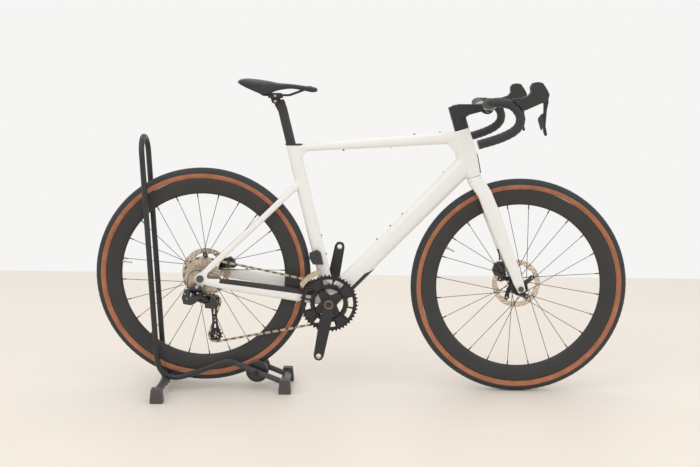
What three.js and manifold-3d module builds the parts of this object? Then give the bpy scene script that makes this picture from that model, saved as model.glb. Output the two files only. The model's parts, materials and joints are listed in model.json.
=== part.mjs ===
// A gravel road bicycle parked in a rear-wheel roller stand.
// Millimetres, +X towards the front wheel, +Y to the rider's left, +Z up, floor at z = 0.
// Inside this file X is measured from the bottom bracket; the last lines centre the whole object.
import * as THREE from "three";
import { mergeVertices } from "three/addons/utils/BufferGeometryUtils.js";
import Module from "manifold-3d";

const wasm = await Module();
wasm.setup();

// ---------------------------------------------------------------- driving dimensions

const GAP = 0.3; // between pieces that touch
const RUN = 0.4; // between pieces that turn or slide on each other
const SIDES = [-1, 1]; // right (drive) side, left side

const TYRE_RADIUS = 352;
const TYRE_WIDTH = 40;
const TYRE_CLEARANCE = 2.5; // to the stays on either side
const CASING_RISE = 5; // rim edge to the lowest round of the casing
const RIM_OUTER = 317;
const RIM_INNER = 267.3;
const RIM_WIDTH = 30;
const WHEEL_FACETS = 48;
const SPOKES_PER_SIDE = 12;
const SPOKE_LEAD = 60; // degrees between a spoke's hub end and its rim end
const SPOKE_RADIUS = 1.1;
const REAR_WHEEL_TURN = 3.8; // degrees that each wheel has rolled round, as it stands
const FRONT_WHEEL_TURN = -5.6;
const FLANGE_RADIUS = 27;
const ROTOR_RADIUS = 80;
const ROTOR_HALF = 0.9;
const ROTOR_SEAT = 16;
const REAR_ROTOR_Y = 55.7;
const FRONT_ROTOR_Y = 39.5;
const THRU_AXLE = 6; // radius
const AXLE_TUBE = 9; // hub end cap radius
const FRONT_HUB_HALF = 50;
const REAR_HUB_HALF = 71;

const REAR_LIFT = 24.3; // how far the stand holds the rear tyre off the floor
const BB_HEIGHT = 295.5;
const FRONT_CENTRE = 618.1; // bottom bracket to front axle, along X
const TYRE_TO_BB = 69.4;
const STEER_ANGLE = 73; // degrees from the floor
const RAKE = 44;
const CROWN_SPACE = 37; // tyre top to the lower headset face
const HEAD_TUBE = 157;
const SPACER_HEIGHT = 33.5;
const STEM_REACH = 100;
const STEM_HEIGHT = 46;
const SEAT_ANGLE = 76.04;
const SEAT_TUBE = 526;
const SEATPOST_SHOWN = 146; // clamp to the centre of the post's head
const SEATPOST_INSERTED = 150;
const SEATPOST_SPARE = 100; // empty seat tube below the inserted post
const POST_DEPTH = 31;
const POST_WIDTH = 24;
const STEERER = 14.3; // radius
const HEAD_BEARING_LOWER = 23.5;
const HEAD_BEARING_UPPER = 20.7;
const HEAD_BEARING_HEIGHT = 7;
const BB_HALF = 34;
const BB_SHELL = 29; // radius
const SPINDLE = 12; // radius
const DROPOUT_THICK = 7.5;

const CRANK_LENGTH = 172.5;
const CRANK_ANGLE = -100.5; // right crank, degrees from +X
const CRANK_FACE = 75.5;
const LINK_PITCH = 12.7; // chain
const SMALL_RING_TEETH = 30;
const LARGE_RING_TIP = 95.5;
const LARGE_COG_TEETH = 30;
const SMALL_COG_RADIUS = 21;
const PULLEY_TEETH = 11;
const SMALL_RING_Y = -43;
const LARGE_RING_Y = -50.5;
const RING_HALF = 1.3;
const RING_BORE = 50.3;
const LARGE_COG_Y = -26.5;
const SMALL_COG_Y = -66.5;
const CHAIN_HALF_HEIGHT = 3.4;
const CHAIN_HALF_WIDTH = 2.9;
const CHAIN_CLEARANCE = 0.9; // plain sprocket discs to the chain they carry
const SHIFT_WIRE = 1.3;
const BRAKE_HOSE = 2.4;

const LINK_LENGTH = 60; // rear derailleur parallelogram
const LINK_REST = 40; // degrees of the links in their own plane, on the largest cog
const LINK_MIDDLE = 13.5;
const LINK_SPACING = 16;
const LINK_SLANT = 40; // degrees of the link pins from upright
const LINK_HALF = 8; // along the pins
const GUIDE_CLEARANCE = 9; // largest cog to guide pulley
const GUIDE_ANGLE = -67; // seen from the rear axle
const CAGE_LENGTH = 111; // guide pulley to tension pulley
const CAGE_ANGLE = -87;
const CAGE_PLATE = 2.2;
const CAGE_HALF_GAP = 4.9;

const BAR_HALF = 205; // handlebar centre to hood
const BAR_RADIUS = 14;
const BAR_CLAMP = 15.9; // radius
const BAR_FLARE = 22;
const HOOD_HALF = 17;
const LEVER_HALF = 7;

const HOOP_TUBE = 9; // stand tube radii
const CROSS_TUBE = 12.7;
const HOOP_HALF = 52;
const HOOP_CLEARANCE = 152; // tyre to the top of the hoop's centre line
const REAR_FOOT_HALF = 207.5;
const FRONT_FOOT_HALF = 91;
const FOOT_LENGTH = 28;
const FOOT_HEIGHT = 47;
const FOOT_WIDTH = 40;
const ROLLER_CORE = 9;
const ROLLER_FLANGE = 37;
const ROLLER_ANGLE = -60.4; // seen from the rear axle, degrees from +X
const REAR_BAR_ANGLE = -109.5;
const FRONT_BAR_AHEAD = 94; // roller axle to front crossbar
const FRONT_BAR_HEIGHT = 28;
const ROLLER_AXLE = 4; // radius

// ---------------------------------------------------------------- derived points (x, z)

const rad = THREE.MathUtils.degToRad;
const polar = (p, degrees, length) => ({
  x: p.x + length * Math.cos(rad(degrees)),
  z: p.z + length * Math.sin(rad(degrees)),
});
const between = (p, q, t) => ({ x: p.x + (q.x - p.x) * t, z: p.z + (q.z - p.z) * t });
const offset = (p, dx, dz) => ({ x: p.x + dx, z: p.z + dz });
const pitchRadius = (teeth) => LINK_PITCH / 2 / Math.sin(Math.PI / teeth);
const discRadius = (teeth) => pitchRadius(teeth) - CHAIN_HALF_HEIGHT - CHAIN_CLEARANCE;

const bb = { x: 0, z: BB_HEIGHT };
const frontAxle = { x: FRONT_CENTRE, z: TYRE_RADIUS };
const axleRise = TYRE_RADIUS + REAR_LIFT - BB_HEIGHT;
const rearAxle = {
  x: -Math.sqrt((TYRE_RADIUS + TYRE_TO_BB) ** 2 - axleRise ** 2),
  z: TYRE_RADIUS + REAR_LIFT,
};
const axleToCrown = Math.sqrt((TYRE_RADIUS + CROWN_SPACE) ** 2 - RAKE ** 2);
const axisUp = 180 - STEER_ANGLE;
const axisForward = 90 - STEER_ANGLE;
const crown = polar(polar(frontAxle, axisForward, -RAKE), axisUp, axleToCrown);
const steerPoint = (height, forward = 0) => polar(polar(crown, axisUp, height), axisForward, forward);
const seatPoint = (height, forward = 0) =>
  polar(polar(bb, 180 - SEAT_ANGLE, height), 90 - SEAT_ANGLE, forward);
const stackTop = HEAD_TUBE + 2 * GAP + SPACER_HEIGHT;
const barCentre = steerPoint(stackTop + 9.2, STEM_REACH);
const dropoutInner = REAR_HUB_HALF + GAP;
const dropoutOuter = dropoutInner + DROPOUT_THICK;
const guideCentre = polar(
  rearAxle,
  GUIDE_ANGLE,
  pitchRadius(LARGE_COG_TEETH) + pitchRadius(PULLEY_TEETH) + GUIDE_CLEARANCE,
);
const tensionCentre = polar(guideCentre, CAGE_ANGLE, CAGE_LENGTH);
const rollerCentre = polar(rearAxle, ROLLER_ANGLE, TYRE_RADIUS + ROLLER_CORE + RUN);
const rearBar = polar(rearAxle, REAR_BAR_ANGLE, TYRE_RADIUS + CROSS_TUBE + RUN);
const frontBar = { x: rollerCentre.x + FRONT_BAR_AHEAD, z: FRONT_BAR_HEIGHT };

// ---------------------------------------------------------------- solids

const vector = (x, y, z) => new THREE.Vector3(x, y, z);

// A closed three.js geometry as a manifold-3d solid, faces turned outwards.
function solid(geometry) {
  const bare = geometry.index ? geometry.toNonIndexed() : geometry.clone();
  bare.deleteAttribute("normal");
  bare.deleteAttribute("uv");
  const merged = mergeVertices(bare, 1e-3);
  const vertices = merged.attributes.position.array;
  const triangles = new Uint32Array(merged.index.array);
  let volume = 0;
  const corner = (i) => vector(...vertices.slice(triangles[i] * 3, triangles[i] * 3 + 3));
  for (let i = 0; i < triangles.length; i += 3) {
    volume += corner(i).dot(corner(i + 1).cross(corner(i + 2)));
  }
  if (volume < 0) triangles.reverse();
  return new wasm.Manifold(
    new wasm.Mesh({ numProp: 3, vertProperties: vertices, triVerts: triangles }),
  );
}

const join = (...solids) => solids.reduce((a, b) => a.add(b));
const cut = (body, ...tools) => tools.reduce((a, b) => a.subtract(b), body);

// [x, z] points moved so that they are measured from a point, or in a turned frame.
const from = (p, points) => points.map(([x, z]) => [p.x + x, p.z + z]);

// A flat shape in the XZ plane, given as [x, z] points, between two values of y.
function plate(points, y0, y1, holes = []) {
  const shape = new THREE.Shape(points.map(([x, z]) => new THREE.Vector2(x, z)));
  shape.holes = holes.map((h) => new THREE.Path(h.map(([x, z]) => new THREE.Vector2(x, z))));
  const [low, high] = y0 < y1 ? [y0, y1] : [y1, y0];
  const g = new THREE.ExtrudeGeometry(shape, { depth: high - low, bevelEnabled: false });
  return solid(g.rotateX(Math.PI / 2).translate(0, high, 0));
}

// A body of revolution about a line along Y; the profile is closed [radius, y] points.
function spun(profile, centre, sides) {
  const points = [...profile, profile[0]].map(([r, y]) => new THREE.Vector2(r, y));
  const phase = Math.PI / sides;
  return solid(
    new THREE.LatheGeometry(points, sides, phase, 2 * Math.PI).translate(centre.x, 0, centre.z),
  );
}

// The same with its facets, not its edges, on the stated radii.
function wheelSpun(profile, centre) {
  const grow = 1 / Math.cos(Math.PI / WHEEL_FACETS);
  return spun(profile.map(([r, y]) => [r * grow, y]), centre, WHEEL_FACETS);
}

const drum = (centre, radius, y0, y1, sides = 16) =>
  spun([[0, y0], [radius, y0], [radius, y1], [0, y1]], centre, sides);
const ring = (centre, bore, radius, y0, y1, sides = 16) =>
  spun([[bore, y0], [radius, y0], [radius, y1], [bore, y1]], centre, sides);

// A skin over cross-sections with equally many points, closed by its two end faces.
function loft(sections, endless = false) {
  const count = sections[0].length;
  const positions = [];
  const face = (a, b, c) => positions.push(...a.toArray(), ...b.toArray(), ...c.toArray());
  const last = endless ? sections.length : sections.length - 1;
  for (let i = 0; i < last; i++) {
    const here = sections[i];
    const next = sections[(i + 1) % sections.length];
    for (let j = 0; j < count; j++) {
      const k = (j + 1) % count;
      face(here[j], next[j], next[k]);
      face(here[j], next[k], here[k]);
    }
  }
  if (!endless) {
    for (const [section, turned] of [[sections[0], false], [sections.at(-1), true]]) {
      const u = section[1].clone().sub(section[0]).normalize();
      const normal = vector(0, 0, 0);
      section.forEach((p, j) => normal.add(p.clone().cross(section[(j + 1) % count])));
      const v = normal.normalize().clone().cross(u);
      const flat = section.map((p) => new THREE.Vector2(p.dot(u), p.dot(v)));
      for (const [a, b, c] of THREE.ShapeUtils.triangulateShape(flat, [])) {
        if (turned) face(section[a], section[c], section[b]);
        else face(section[a], section[b], section[c]);
      }
    }
  }
  const g = new THREE.BufferGeometry();
  g.setAttribute("position", new THREE.Float32BufferAttribute(positions, 3));
  return solid(g);
}

// A superellipse about a centre, in the plane of two unit vectors.
function section(centre, u, v, halfU, halfV, sides, power) {
  const bend = (c) => Math.sign(c) * Math.abs(c) ** (2 / power);
  return Array.from({ length: sides }, (_, i) => {
    const t = ((i + 0.5) * 2 * Math.PI) / sides;
    return centre
      .clone()
      .addScaledVector(u, halfU * bend(Math.cos(t)))
      .addScaledVector(v, halfV * bend(Math.sin(t)));
  });
}

// A tube that runs mostly along X or Z; stations are {p: {x, z}, y, deep, wide}, half sizes.
function shapedTube(stations, sides = 14, power = 2.5) {
  const centres = stations.map((s) => vector(s.p.x, s.y ?? 0, s.p.z));
  return loft(
    stations.map((s, i) => {
      const before = centres[Math.max(0, i - 1)];
      const after = centres[Math.min(centres.length - 1, i + 1)];
      const along = after.clone().sub(before).normalize();
      const u = vector(0, 1, 0).cross(along).normalize();
      const v = along.clone().cross(u);
      return section(centres[i], u, v, s.deep, s.wide, sides, power);
    }),
  );
}

// A round rod through points, its section carried along without twist.
// Radii may be numbers or [half along the carried direction, half across it].
function rod(points, radii, sides = 8, endless = false) {
  const size = (i) => (Array.isArray(radii) ? radii[i] : radii);
  const count = points.length;
  const tangent = (i) => {
    const before = endless ? points[(i + count - 1) % count] : points[Math.max(0, i - 1)];
    const after = endless ? points[(i + 1) % count] : points[Math.min(count - 1, i + 1)];
    return after.clone().sub(before).normalize();
  };
  const first = tangent(0);
  let u = (Math.abs(first.y) > 0.9 ? vector(1, 0, 0) : vector(0, 1, 0)).cross(first).normalize();
  return loft(
    points.map((p, i) => {
      const t = tangent(i);
      u = u.clone().addScaledVector(t, -u.dot(t)).normalize();
      const r = size(i);
      const [a, b] = Array.isArray(r) ? r : [r, r];
      return section(p, u, t.clone().cross(u), a, b, sides, 2);
    }),
    endless,
  );
}

// Corner points rounded off: each corner is [point, length of straight lost on each side].
function rounded(corners, steps = 4) {
  const points = [];
  corners.forEach(([p, cutBack], i) => {
    if (!cutBack) {
      points.push(p);
      return;
    }
    const toward = (q) => p.clone().add(q.clone().sub(p).setLength(cutBack));
    const start = toward(corners[i - 1][0]);
    const end = toward(corners[i + 1][0]);
    points.push(...new THREE.QuadraticBezierCurve3(start, p, end).getPoints(steps));
  });
  return points;
}

// ---------------------------------------------------------------- materials and nodes

const material = (color, roughness, metalness = 0) =>
  new THREE.MeshStandardMaterial({ color, roughness, metalness });
const finishes = {
  frame_paint: () => material(0xe9e8e3, 0.32),
  black_paint: () => material(0x17181a, 0.35),
  carbon: () => material(0x2e2d2c, 0.5),
  alloy_black: () => material(0x1c1c1e, 0.4, 0.6),
  steel: () => material(0xb9b4a8, 0.3, 1),
  plastic: () => material(0x202123, 0.5),
  rubber: () => material(0x1b1b1c, 0.8),
  tyre: () => material(0x23262a, 0.85),
  saddle_skin: () => material(0x1d1d1f, 0.6),
};

const bicycle = new THREE.Group();
function node(name, body, finish) {
  const mesh = body.getMesh();
  const g = new THREE.BufferGeometry();
  g.setAttribute("position", new THREE.Float32BufferAttribute(mesh.vertProperties, 3));
  g.setIndex(new THREE.BufferAttribute(mesh.triVerts, 1));
  g.computeVertexNormals();
  const made = new THREE.Mesh(g, finishes[finish]());
  made.name = name;
  bicycle.add(made);
}
const sideName = (side) => (side < 0 ? "right" : "left");

// ---------------------------------------------------------------- wheels

function tyre(centre) {
  const half = TYRE_WIDTH / 2;
  const middle = TYRE_RADIUS - half;
  const lowest = (Math.asin((RIM_OUTER + CASING_RISE - middle) / half) * 180) / Math.PI;
  const around = [90, 50, 10, lowest].map((a) => [
    middle + half * Math.sin(rad(a)),
    half * Math.cos(rad(a)),
  ]);
  const bead = [RIM_OUTER + GAP, RIM_WIDTH / 2 - 2];
  const right = [...around.slice(1), bead];
  return wheelSpun(
    [around[0], ...right, ...right.map(([r, y]) => [r, -y]).reverse()],
    centre,
  );
}

function rim(centre) {
  const depth = RIM_OUTER - RIM_INNER;
  const side = [
    [RIM_INNER, 3],
    [RIM_INNER + 0.2 * depth, 0.3 * RIM_WIDTH],
    [RIM_INNER + 0.62 * depth, 0.45 * RIM_WIDTH],
    [RIM_OUTER, 0.5 * RIM_WIDTH],
  ];
  return wheelSpun([...side, ...side.map(([r, y]) => [r, -y]).reverse()], centre);
}

// Hub shell with its laced spokes; each spoke stops just short of the rim.
function spokedHub(centre, profile, flanges, turn) {
  let hub = spun(profile, centre, 16);
  const step = 360 / SPOKES_PER_SIDE;
  flanges.forEach((flangeY, side) => {
    for (let k = 0; k < SPOKES_PER_SIDE; k++) {
      const hole = turn + step * k + (side * step) / 2;
      const lead = k % 2 ? SPOKE_LEAD : -SPOKE_LEAD;
      const inner = polar(centre, hole, FLANGE_RADIUS - 2.5);
      const outer = polar(centre, hole + lead, RIM_INNER - GAP);
      const ends = [vector(inner.x, flangeY, inner.z), vector(outer.x, 0, outer.z)];
      hub = hub.add(rod(ends, SPOKE_RADIUS, 3));
    }
  });
  return hub;
}

function rotor(centre, y) {
  return ring(centre, ROTOR_SEAT + GAP, ROTOR_RADIUS, y - ROTOR_HALF, y + ROTOR_HALF, 32);
}

const hubBore = THRU_AXLE + RUN;
const rearHubEnd = REAR_HUB_HALF - GAP;
const frontHubEnd = FRONT_HUB_HALF - GAP;
const rearFlanges = [-20, 35];
const frontFlanges = [-31.5, 22];

function flange(y, neck) {
  return [[neck, y - 3], [FLANGE_RADIUS, y - 1.5], [FLANGE_RADIUS, y + 1.5], [neck, y + 3]];
}

function wheels() {
  node("rear_tyre", tyre(rearAxle), "tyre");
  node("rear_rim", rim(rearAxle), "carbon");
  node("rear_rotor", rotor(rearAxle, REAR_ROTOR_Y), "steel");
  const rearProfile = [
    [hubBore, -rearHubEnd],
    [AXLE_TUBE, -rearHubEnd],
    [AXLE_TUBE, rearFlanges[0] - 3],
    ...flange(rearFlanges[0], 13),
    ...flange(rearFlanges[1], 13),
    [ROTOR_SEAT, rearFlanges[1] + 5],
    [ROTOR_SEAT, REAR_ROTOR_Y + 3],
    [AXLE_TUBE, REAR_ROTOR_Y + 4],
    [AXLE_TUBE, rearHubEnd],
    [hubBore, rearHubEnd],
  ];
  node("rear_hub", spokedHub(rearAxle, rearProfile, rearFlanges, REAR_WHEEL_TURN), "alloy_black");
  node("front_tyre", tyre(frontAxle), "tyre");
  node("front_rim", rim(frontAxle), "carbon");
  node("front_rotor", rotor(frontAxle, FRONT_ROTOR_Y), "steel");
  const frontProfile = [
    [hubBore, -frontHubEnd],
    [AXLE_TUBE, -frontHubEnd],
    [AXLE_TUBE, frontFlanges[0] - 5],
    ...flange(frontFlanges[0], 12),
    ...flange(frontFlanges[1], 12),
    [ROTOR_SEAT, frontFlanges[1] + 5],
    [ROTOR_SEAT, FRONT_ROTOR_Y + 3],
    [AXLE_TUBE, FRONT_ROTOR_Y + 4],
    [AXLE_TUBE, frontHubEnd],
    [hubBore, frontHubEnd],
  ];
  const frontHub = spokedHub(frontAxle, frontProfile, frontFlanges, FRONT_WHEEL_TURN);
  node("front_hub", frontHub, "alloy_black");
}

function cassette() {
  const cog = discRadius(LARGE_COG_TEETH);
  const bore = AXLE_TUBE + RUN;
  const profile = [
    [bore, LARGE_COG_Y + 2.6],
    [18, LARGE_COG_Y + 2.6],
    [18, LARGE_COG_Y + 1.2],
    [cog, LARGE_COG_Y + 1.2],
    [cog, LARGE_COG_Y - 1.2],
    [cog - 5, LARGE_COG_Y - 2.5],
    [SMALL_COG_RADIUS + 1, SMALL_COG_Y + 1.2],
    [SMALL_COG_RADIUS, SMALL_COG_Y - 1],
    [bore, SMALL_COG_Y - 1],
  ];
  node("cassette", spun(profile, rearAxle, 28), "steel");
}

// ---------------------------------------------------------------- frame

// Stay stations: share of the way, sideways place, half depth, half width, drop below the line.
const STAY_SPREAD = dropoutInner + DROPOUT_THICK / 2;
const SEAT_STAY = [
  [0, 9, 13, 8, 0],
  [0.1, 22, 11, 8, -1],
  [0.2, 33, 10.5, 7.5, -3],
  [0.4, 42, 10.3, 7.5, -5],
  [0.7, 58, 10.3, 7.2, -1],
  [0.8, 64.5, 10.5, 6.8, 0],
  [0.9, 68, 10.5, 6.4, 0],
  [1, STAY_SPREAD, 9, 3.7, 0],
];
const CHAIN_STAY = [
  [0.03, STAY_SPREAD, 11, 3.7],
  [0.146, 67, 15.5, 6.8],
  [0.195, 65, 17, 7],
  [0.304, 57, 18.5, 8],
  [0.466, 49.5, 20, 8.5],
  [0.661, 38, 20.5, 9],
  [0.79, 33, 21, 9],
  [0.9, 27, 21, 9],
  [1, 20, 20, 10],
];
// The right chain stay drops below the chain; the left one runs higher.
const CHAIN_STAY_RISE = { "-1": [-7, 6], 1: [0, 26] };

function frame() {
  const downEnd = steerPoint(54);
  const topStart = seatPoint(SEAT_TUBE - 13);
  const topEnd = steerPoint(HEAD_TUBE - 24);
  const tubeBetween = (p, q, rows) =>
    shapedTube(rows.map(([t, deep, wide]) => ({ p: between(p, q, t), deep, wide })));
  const downTube = tubeBetween(bb, downEnd, [
    [0.02, 30, 32],
    [0.12, 31, 30],
    [0.5, 31, 27],
    [0.85, 32.5, 26],
    [0.98, 34, 25],
  ]);
  const topTube = tubeBetween(topStart, topEnd, [
    [0, 12.5, 15],
    [0.16, 13.5, 18],
    [0.5, 17, 21],
    [0.86, 19.5, 22],
    [0.99, 22, 22],
  ]);
  const headTube = shapedTube(
    [
      [0, 25, 28, 0],
      [20, 27, 27.5, 0],
      [80, 35, 25, -4],
      [130, 33, 24.5, -4],
      [HEAD_TUBE - 5, 29.5, 25, -1.5],
      [HEAD_TUBE, 29, 25, -1.5],
    ].map(([s, deep, wide, forward]) => ({ p: steerPoint(s, forward), deep, wide })),
    16,
  );
  const seatTube = shapedTube(
    [
      [0, 21, 30],
      [60, 21, 24],
      [110, 21, 19],
      [180, 21.5, 17.5],
      [SEAT_TUBE - 60, 22, 17],
      [SEAT_TUBE + 12, 22, 17],
    ].map(([s, deep, wide]) => ({ p: seatPoint(s, 4), deep, wide })),
  );
  const seatTop = seatPoint(SEAT_TUBE);
  const aboveSeat = plate(from(seatTop, [[-70, -2], [38, -2], [38, 60], [-70, 60]]), -60, 60);
  // The head tube's top face runs on over the top tube, so that the spacer can turn.
  const aboveHead = plate(
    [[0, -36], [0, 60], [60, 60], [60, -36]].map(([up, forward]) => {
      const p = steerPoint(HEAD_TUBE + up, forward);
      return [p.x, p.z];
    }),
    -60,
    60,
  );
  // Webs that round the upper inner corners of the front triangle.
  const headWeb = plate(
    [
      steerPoint(HEAD_TUBE - 36, -49),
      steerPoint(HEAD_TUBE - 66, -36),
      steerPoint(HEAD_TUBE - 66, -20),
      steerPoint(HEAD_TUBE - 25, -20),
      steerPoint(HEAD_TUBE - 25, -49),
    ].map((p) => [p.x, p.z]),
    -20,
    20,
  );
  const seatWeb = plate(
    [
      seatPoint(SEAT_TUBE - 8, 12),
      seatPoint(SEAT_TUBE - 62, 12),
      seatPoint(SEAT_TUBE - 42, 32),
      seatPoint(SEAT_TUBE - 22, 62),
    ].map((p) => [p.x, p.z]),
    -13,
    13,
  );
  const stays = SIDES.flatMap((side) => {
    const stayTop = seatPoint(SEAT_TUBE - 126, -2);
    const stayEnd = offset(rearAxle, 10.5, 15.7);
    const seatStay = shapedTube(
      SEAT_STAY.map(([t, y, deep, wide, drop]) => ({
        p: offset(between(stayTop, stayEnd, t), 0.7 * drop, drop),
        y: side * y,
        deep,
        wide,
      })),
      10,
    );
    const [rearRise, frontRise] = CHAIN_STAY_RISE[side];
    const chainStay = shapedTube(
      CHAIN_STAY.map(([t, y, deep, wide]) => {
        const bulge = side > 0 ? 8 * Math.sin(Math.PI * t) : 0;
        const rise = rearRise + (frontRise - rearRise) * t + bulge;
        return { p: offset(between(rearAxle, bb, t), 0, rise), y: side * y, deep, wide };
      }),
      10,
    );
    const dropout = plate(
      from(rearAxle, [
        [-11, -13],
        [0, -17],
        [14, -16],
        [22, -8],
        [22, 6],
        [24, 22],
        [10, 26],
        [-5, 17],
        [-15, 8],
        [-17, -3],
      ]),
      side * dropoutInner,
      side * dropoutOuter,
    );
    return [seatStay, chainStay, dropout];
  });
  const hanger = plate(
    from(rearAxle, [[-12, -8], [8, -8], [8, -30], [2, -40], [-8, -40], [-12, -30]]),
    -dropoutInner,
    -(dropoutInner + 4.5),
  );
  const shell = drum(bb, BB_SHELL, -BB_HALF, BB_HALF, 24);
  const axis = (s) => {
    const p = steerPoint(s);
    return vector(p.x, 0, p.z);
  };
  const counterbore = HEAD_BEARING_HEIGHT + GAP;
  const seat = (s) => {
    const p = seatPoint(s);
    return { p, deep: POST_DEPTH / 2 + RUN, wide: POST_WIDTH / 2 + RUN };
  };
  // Room for the tyre to turn between the stays.
  const roomHalf = TYRE_WIDTH / 2 + TYRE_CLEARANCE;
  const roomEdge = TYRE_RADIUS + TYRE_CLEARANCE;
  const tyreRoom = wheelSpun(
    [
      [RIM_INNER, roomHalf],
      [roomEdge - roomHalf / 2, roomHalf],
      [roomEdge, roomHalf / 2],
      [roomEdge, -roomHalf / 2],
      [roomEdge - roomHalf / 2, -roomHalf],
      [RIM_INNER, -roomHalf],
    ],
    rearAxle,
  );
  const blank = join(downTube, topTube, headTube, seatTube, headWeb, seatWeb, ...stays, hanger, shell);
  return cut(
    blank,
    tyreRoom,
    aboveSeat,
    aboveHead,
    rod([axis(-5), axis(HEAD_TUBE + 5)], STEERER + 2, 16),
    rod([axis(-5), axis(counterbore)], HEAD_BEARING_LOWER + GAP, 20),
    rod([axis(HEAD_TUBE - counterbore), axis(HEAD_TUBE + 5)], HEAD_BEARING_UPPER + GAP, 20),
    shapedTube([seat(SEAT_TUBE - SEATPOST_INSERTED - SEATPOST_SPARE), seat(SEAT_TUBE + 30)]),
    drum(bb, 21 + GAP, -BB_HALF - 12, BB_HALF + 12, 20),
    drum(rearAxle, THRU_AXLE + GAP, -REAR_HUB_HALF - 20, REAR_HUB_HALF + 20),
  );
}

function frameParts() {
  node("frame", frame(), "frame_paint");
  const seatTop = seatPoint(SEAT_TUBE);
  const capRow = (up) => ({ p: offset(seatTop, 8.5, up), deep: 28.5, wide: 17 });
  const postHole = (s) => ({ p: seatPoint(s), deep: POST_DEPTH / 2 + RUN, wide: POST_WIDTH / 2 + RUN });
  node(
    "seat_clamp_cover",
    cut(
      shapedTube([capRow(GAP - 2), capRow(3)]),
      shapedTube([postHole(SEAT_TUBE - 20), postHole(SEAT_TUBE + 40)]),
    ),
    "plastic",
  );
  const axisRing = (low, high, radius) => {
    const at = (s) => {
      const p = steerPoint(s);
      return vector(p.x, 0, p.z);
    };
    return cut(rod([at(low), at(high)], radius, 20), rod([at(low - 1), at(high + 1)], STEERER + RUN, 16));
  };
  node("headset_bearing_lower", axisRing(0.1, HEAD_BEARING_HEIGHT, HEAD_BEARING_LOWER), "steel");
  node(
    "headset_bearing_upper",
    axisRing(HEAD_TUBE - HEAD_BEARING_HEIGHT, HEAD_TUBE - 0.1, HEAD_BEARING_UPPER),
    "steel",
  );
  for (const side of SIDES) {
    const bore = SPINDLE + RUN;
    const rim = BB_HALF + GAP;
    const profile = [[bore, 14], [21, 14], [21, rim], [23.5, rim], [23.5, 40], [bore, 40]];
    node(
      "bb_cup_" + sideName(side),
      spun(profile.map(([r, y]) => [r, side * y]), bb, 20),
      "alloy_black",
    );
  }
  const headY = dropoutOuter + GAP;
  node(
    "rear_thru_axle",
    join(
      drum(rearAxle, THRU_AXLE, -headY - 1, dropoutOuter, 16),
      drum(rearAxle, 12, -headY - 4, -headY, 16),
    ),
    "alloy_black",
  );
}

// A brake caliper straddling its rotor.
function caliper(centre, outline, y0, y1, rotorY) {
  const slot = drum(centre, ROTOR_RADIUS + 2, rotorY - ROTOR_HALF - 0.6, rotorY + ROTOR_HALF + 0.6, 36);
  return cut(plate(from(centre, outline), y0, y1), slot);
}

const REAR_CALIPER = [[44, 15], [47, 31], [62, 46], [82, 54], [97, 42], [102, 20], [94, 15]];
const FRONT_CALIPER = [
  [-82, 44],
  [-76, 66],
  [-61, 75],
  [-46, 72],
  [-40, 56],
  [-34, 26],
  [-50, 20],
  [-74, 28],
];

function brakes() {
  node("rear_brake_caliper", caliper(rearAxle, REAR_CALIPER, 45, 66, REAR_ROTOR_Y), "alloy_black");
  node(
    "front_brake_caliper",
    caliper(frontAxle, FRONT_CALIPER, 29, FRONT_HUB_HALF - GAP, FRONT_ROTOR_Y),
    "alloy_black",
  );
  const at = (p, y, x, z) => vector(p.x + x, y, p.z + z);
  const rearHose = new THREE.CatmullRomCurve3([
    at(rearAxle, 50, 98.5 + BRAKE_HOSE + 2, 26),
    at(rearAxle, 49, 114, 25),
    at(rearAxle, 50, 128, 20),
    at(rearAxle, 52, 139, 12.5),
  ]);
  node("rear_brake_hose", rod(rearHose.getPoints(8), BRAKE_HOSE, 8), "rubber");
  const frontHose = new THREE.CatmullRomCurve3([
    at(frontAxle, 42, -56, 75 + BRAKE_HOSE),
    at(frontAxle, 42, -57, 88),
    at(frontAxle, 43, -60, 102),
    at(frontAxle, 44.5, -64, 114),
  ]);
  node("front_brake_hose", rod(frontHose.getPoints(6), BRAKE_HOSE, 8), "rubber");
}

// ---------------------------------------------------------------- drivetrain

function crankArm(side) {
  const angle = side < 0 ? CRANK_ANGLE : CRANK_ANGLE + 180;
  const middle = side * (CRANK_FACE - 7.75);
  const rows = [
    [0, 19, 7.75],
    [30, 20, 7.75],
    [70, 20, 7.5],
    [CRANK_LENGTH - 20, 17.5, 7.25],
    [CRANK_LENGTH, 17, 7],
    [CRANK_LENGTH + 11, 12.5, 6.8],
    [CRANK_LENGTH + 15, 7, 6.5],
  ];
  return shapedTube(
    rows.map(([r, deep, wide]) => ({ p: polar(bb, angle, r), y: middle, deep, wide })),
    12,
    3.5,
  );
}

const pedalPoint = (side) => polar(bb, side < 0 ? CRANK_ANGLE : CRANK_ANGLE + 180, CRANK_LENGTH);

function star(tip, waist, y0, y1) {
  const points = Array.from({ length: 16 }, (_, i) => {
    const arm = Math.floor(i / 4) * 90 + CRANK_ANGLE + 45;
    const [turn, r] = [[-45, waist], [-11, tip * 0.97], [0, tip], [11, tip * 0.97]][i % 4];
    const p = polar(bb, arm + turn, r);
    return [p.x, p.z];
  });
  return plate(points, y0, y1);
}

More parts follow.
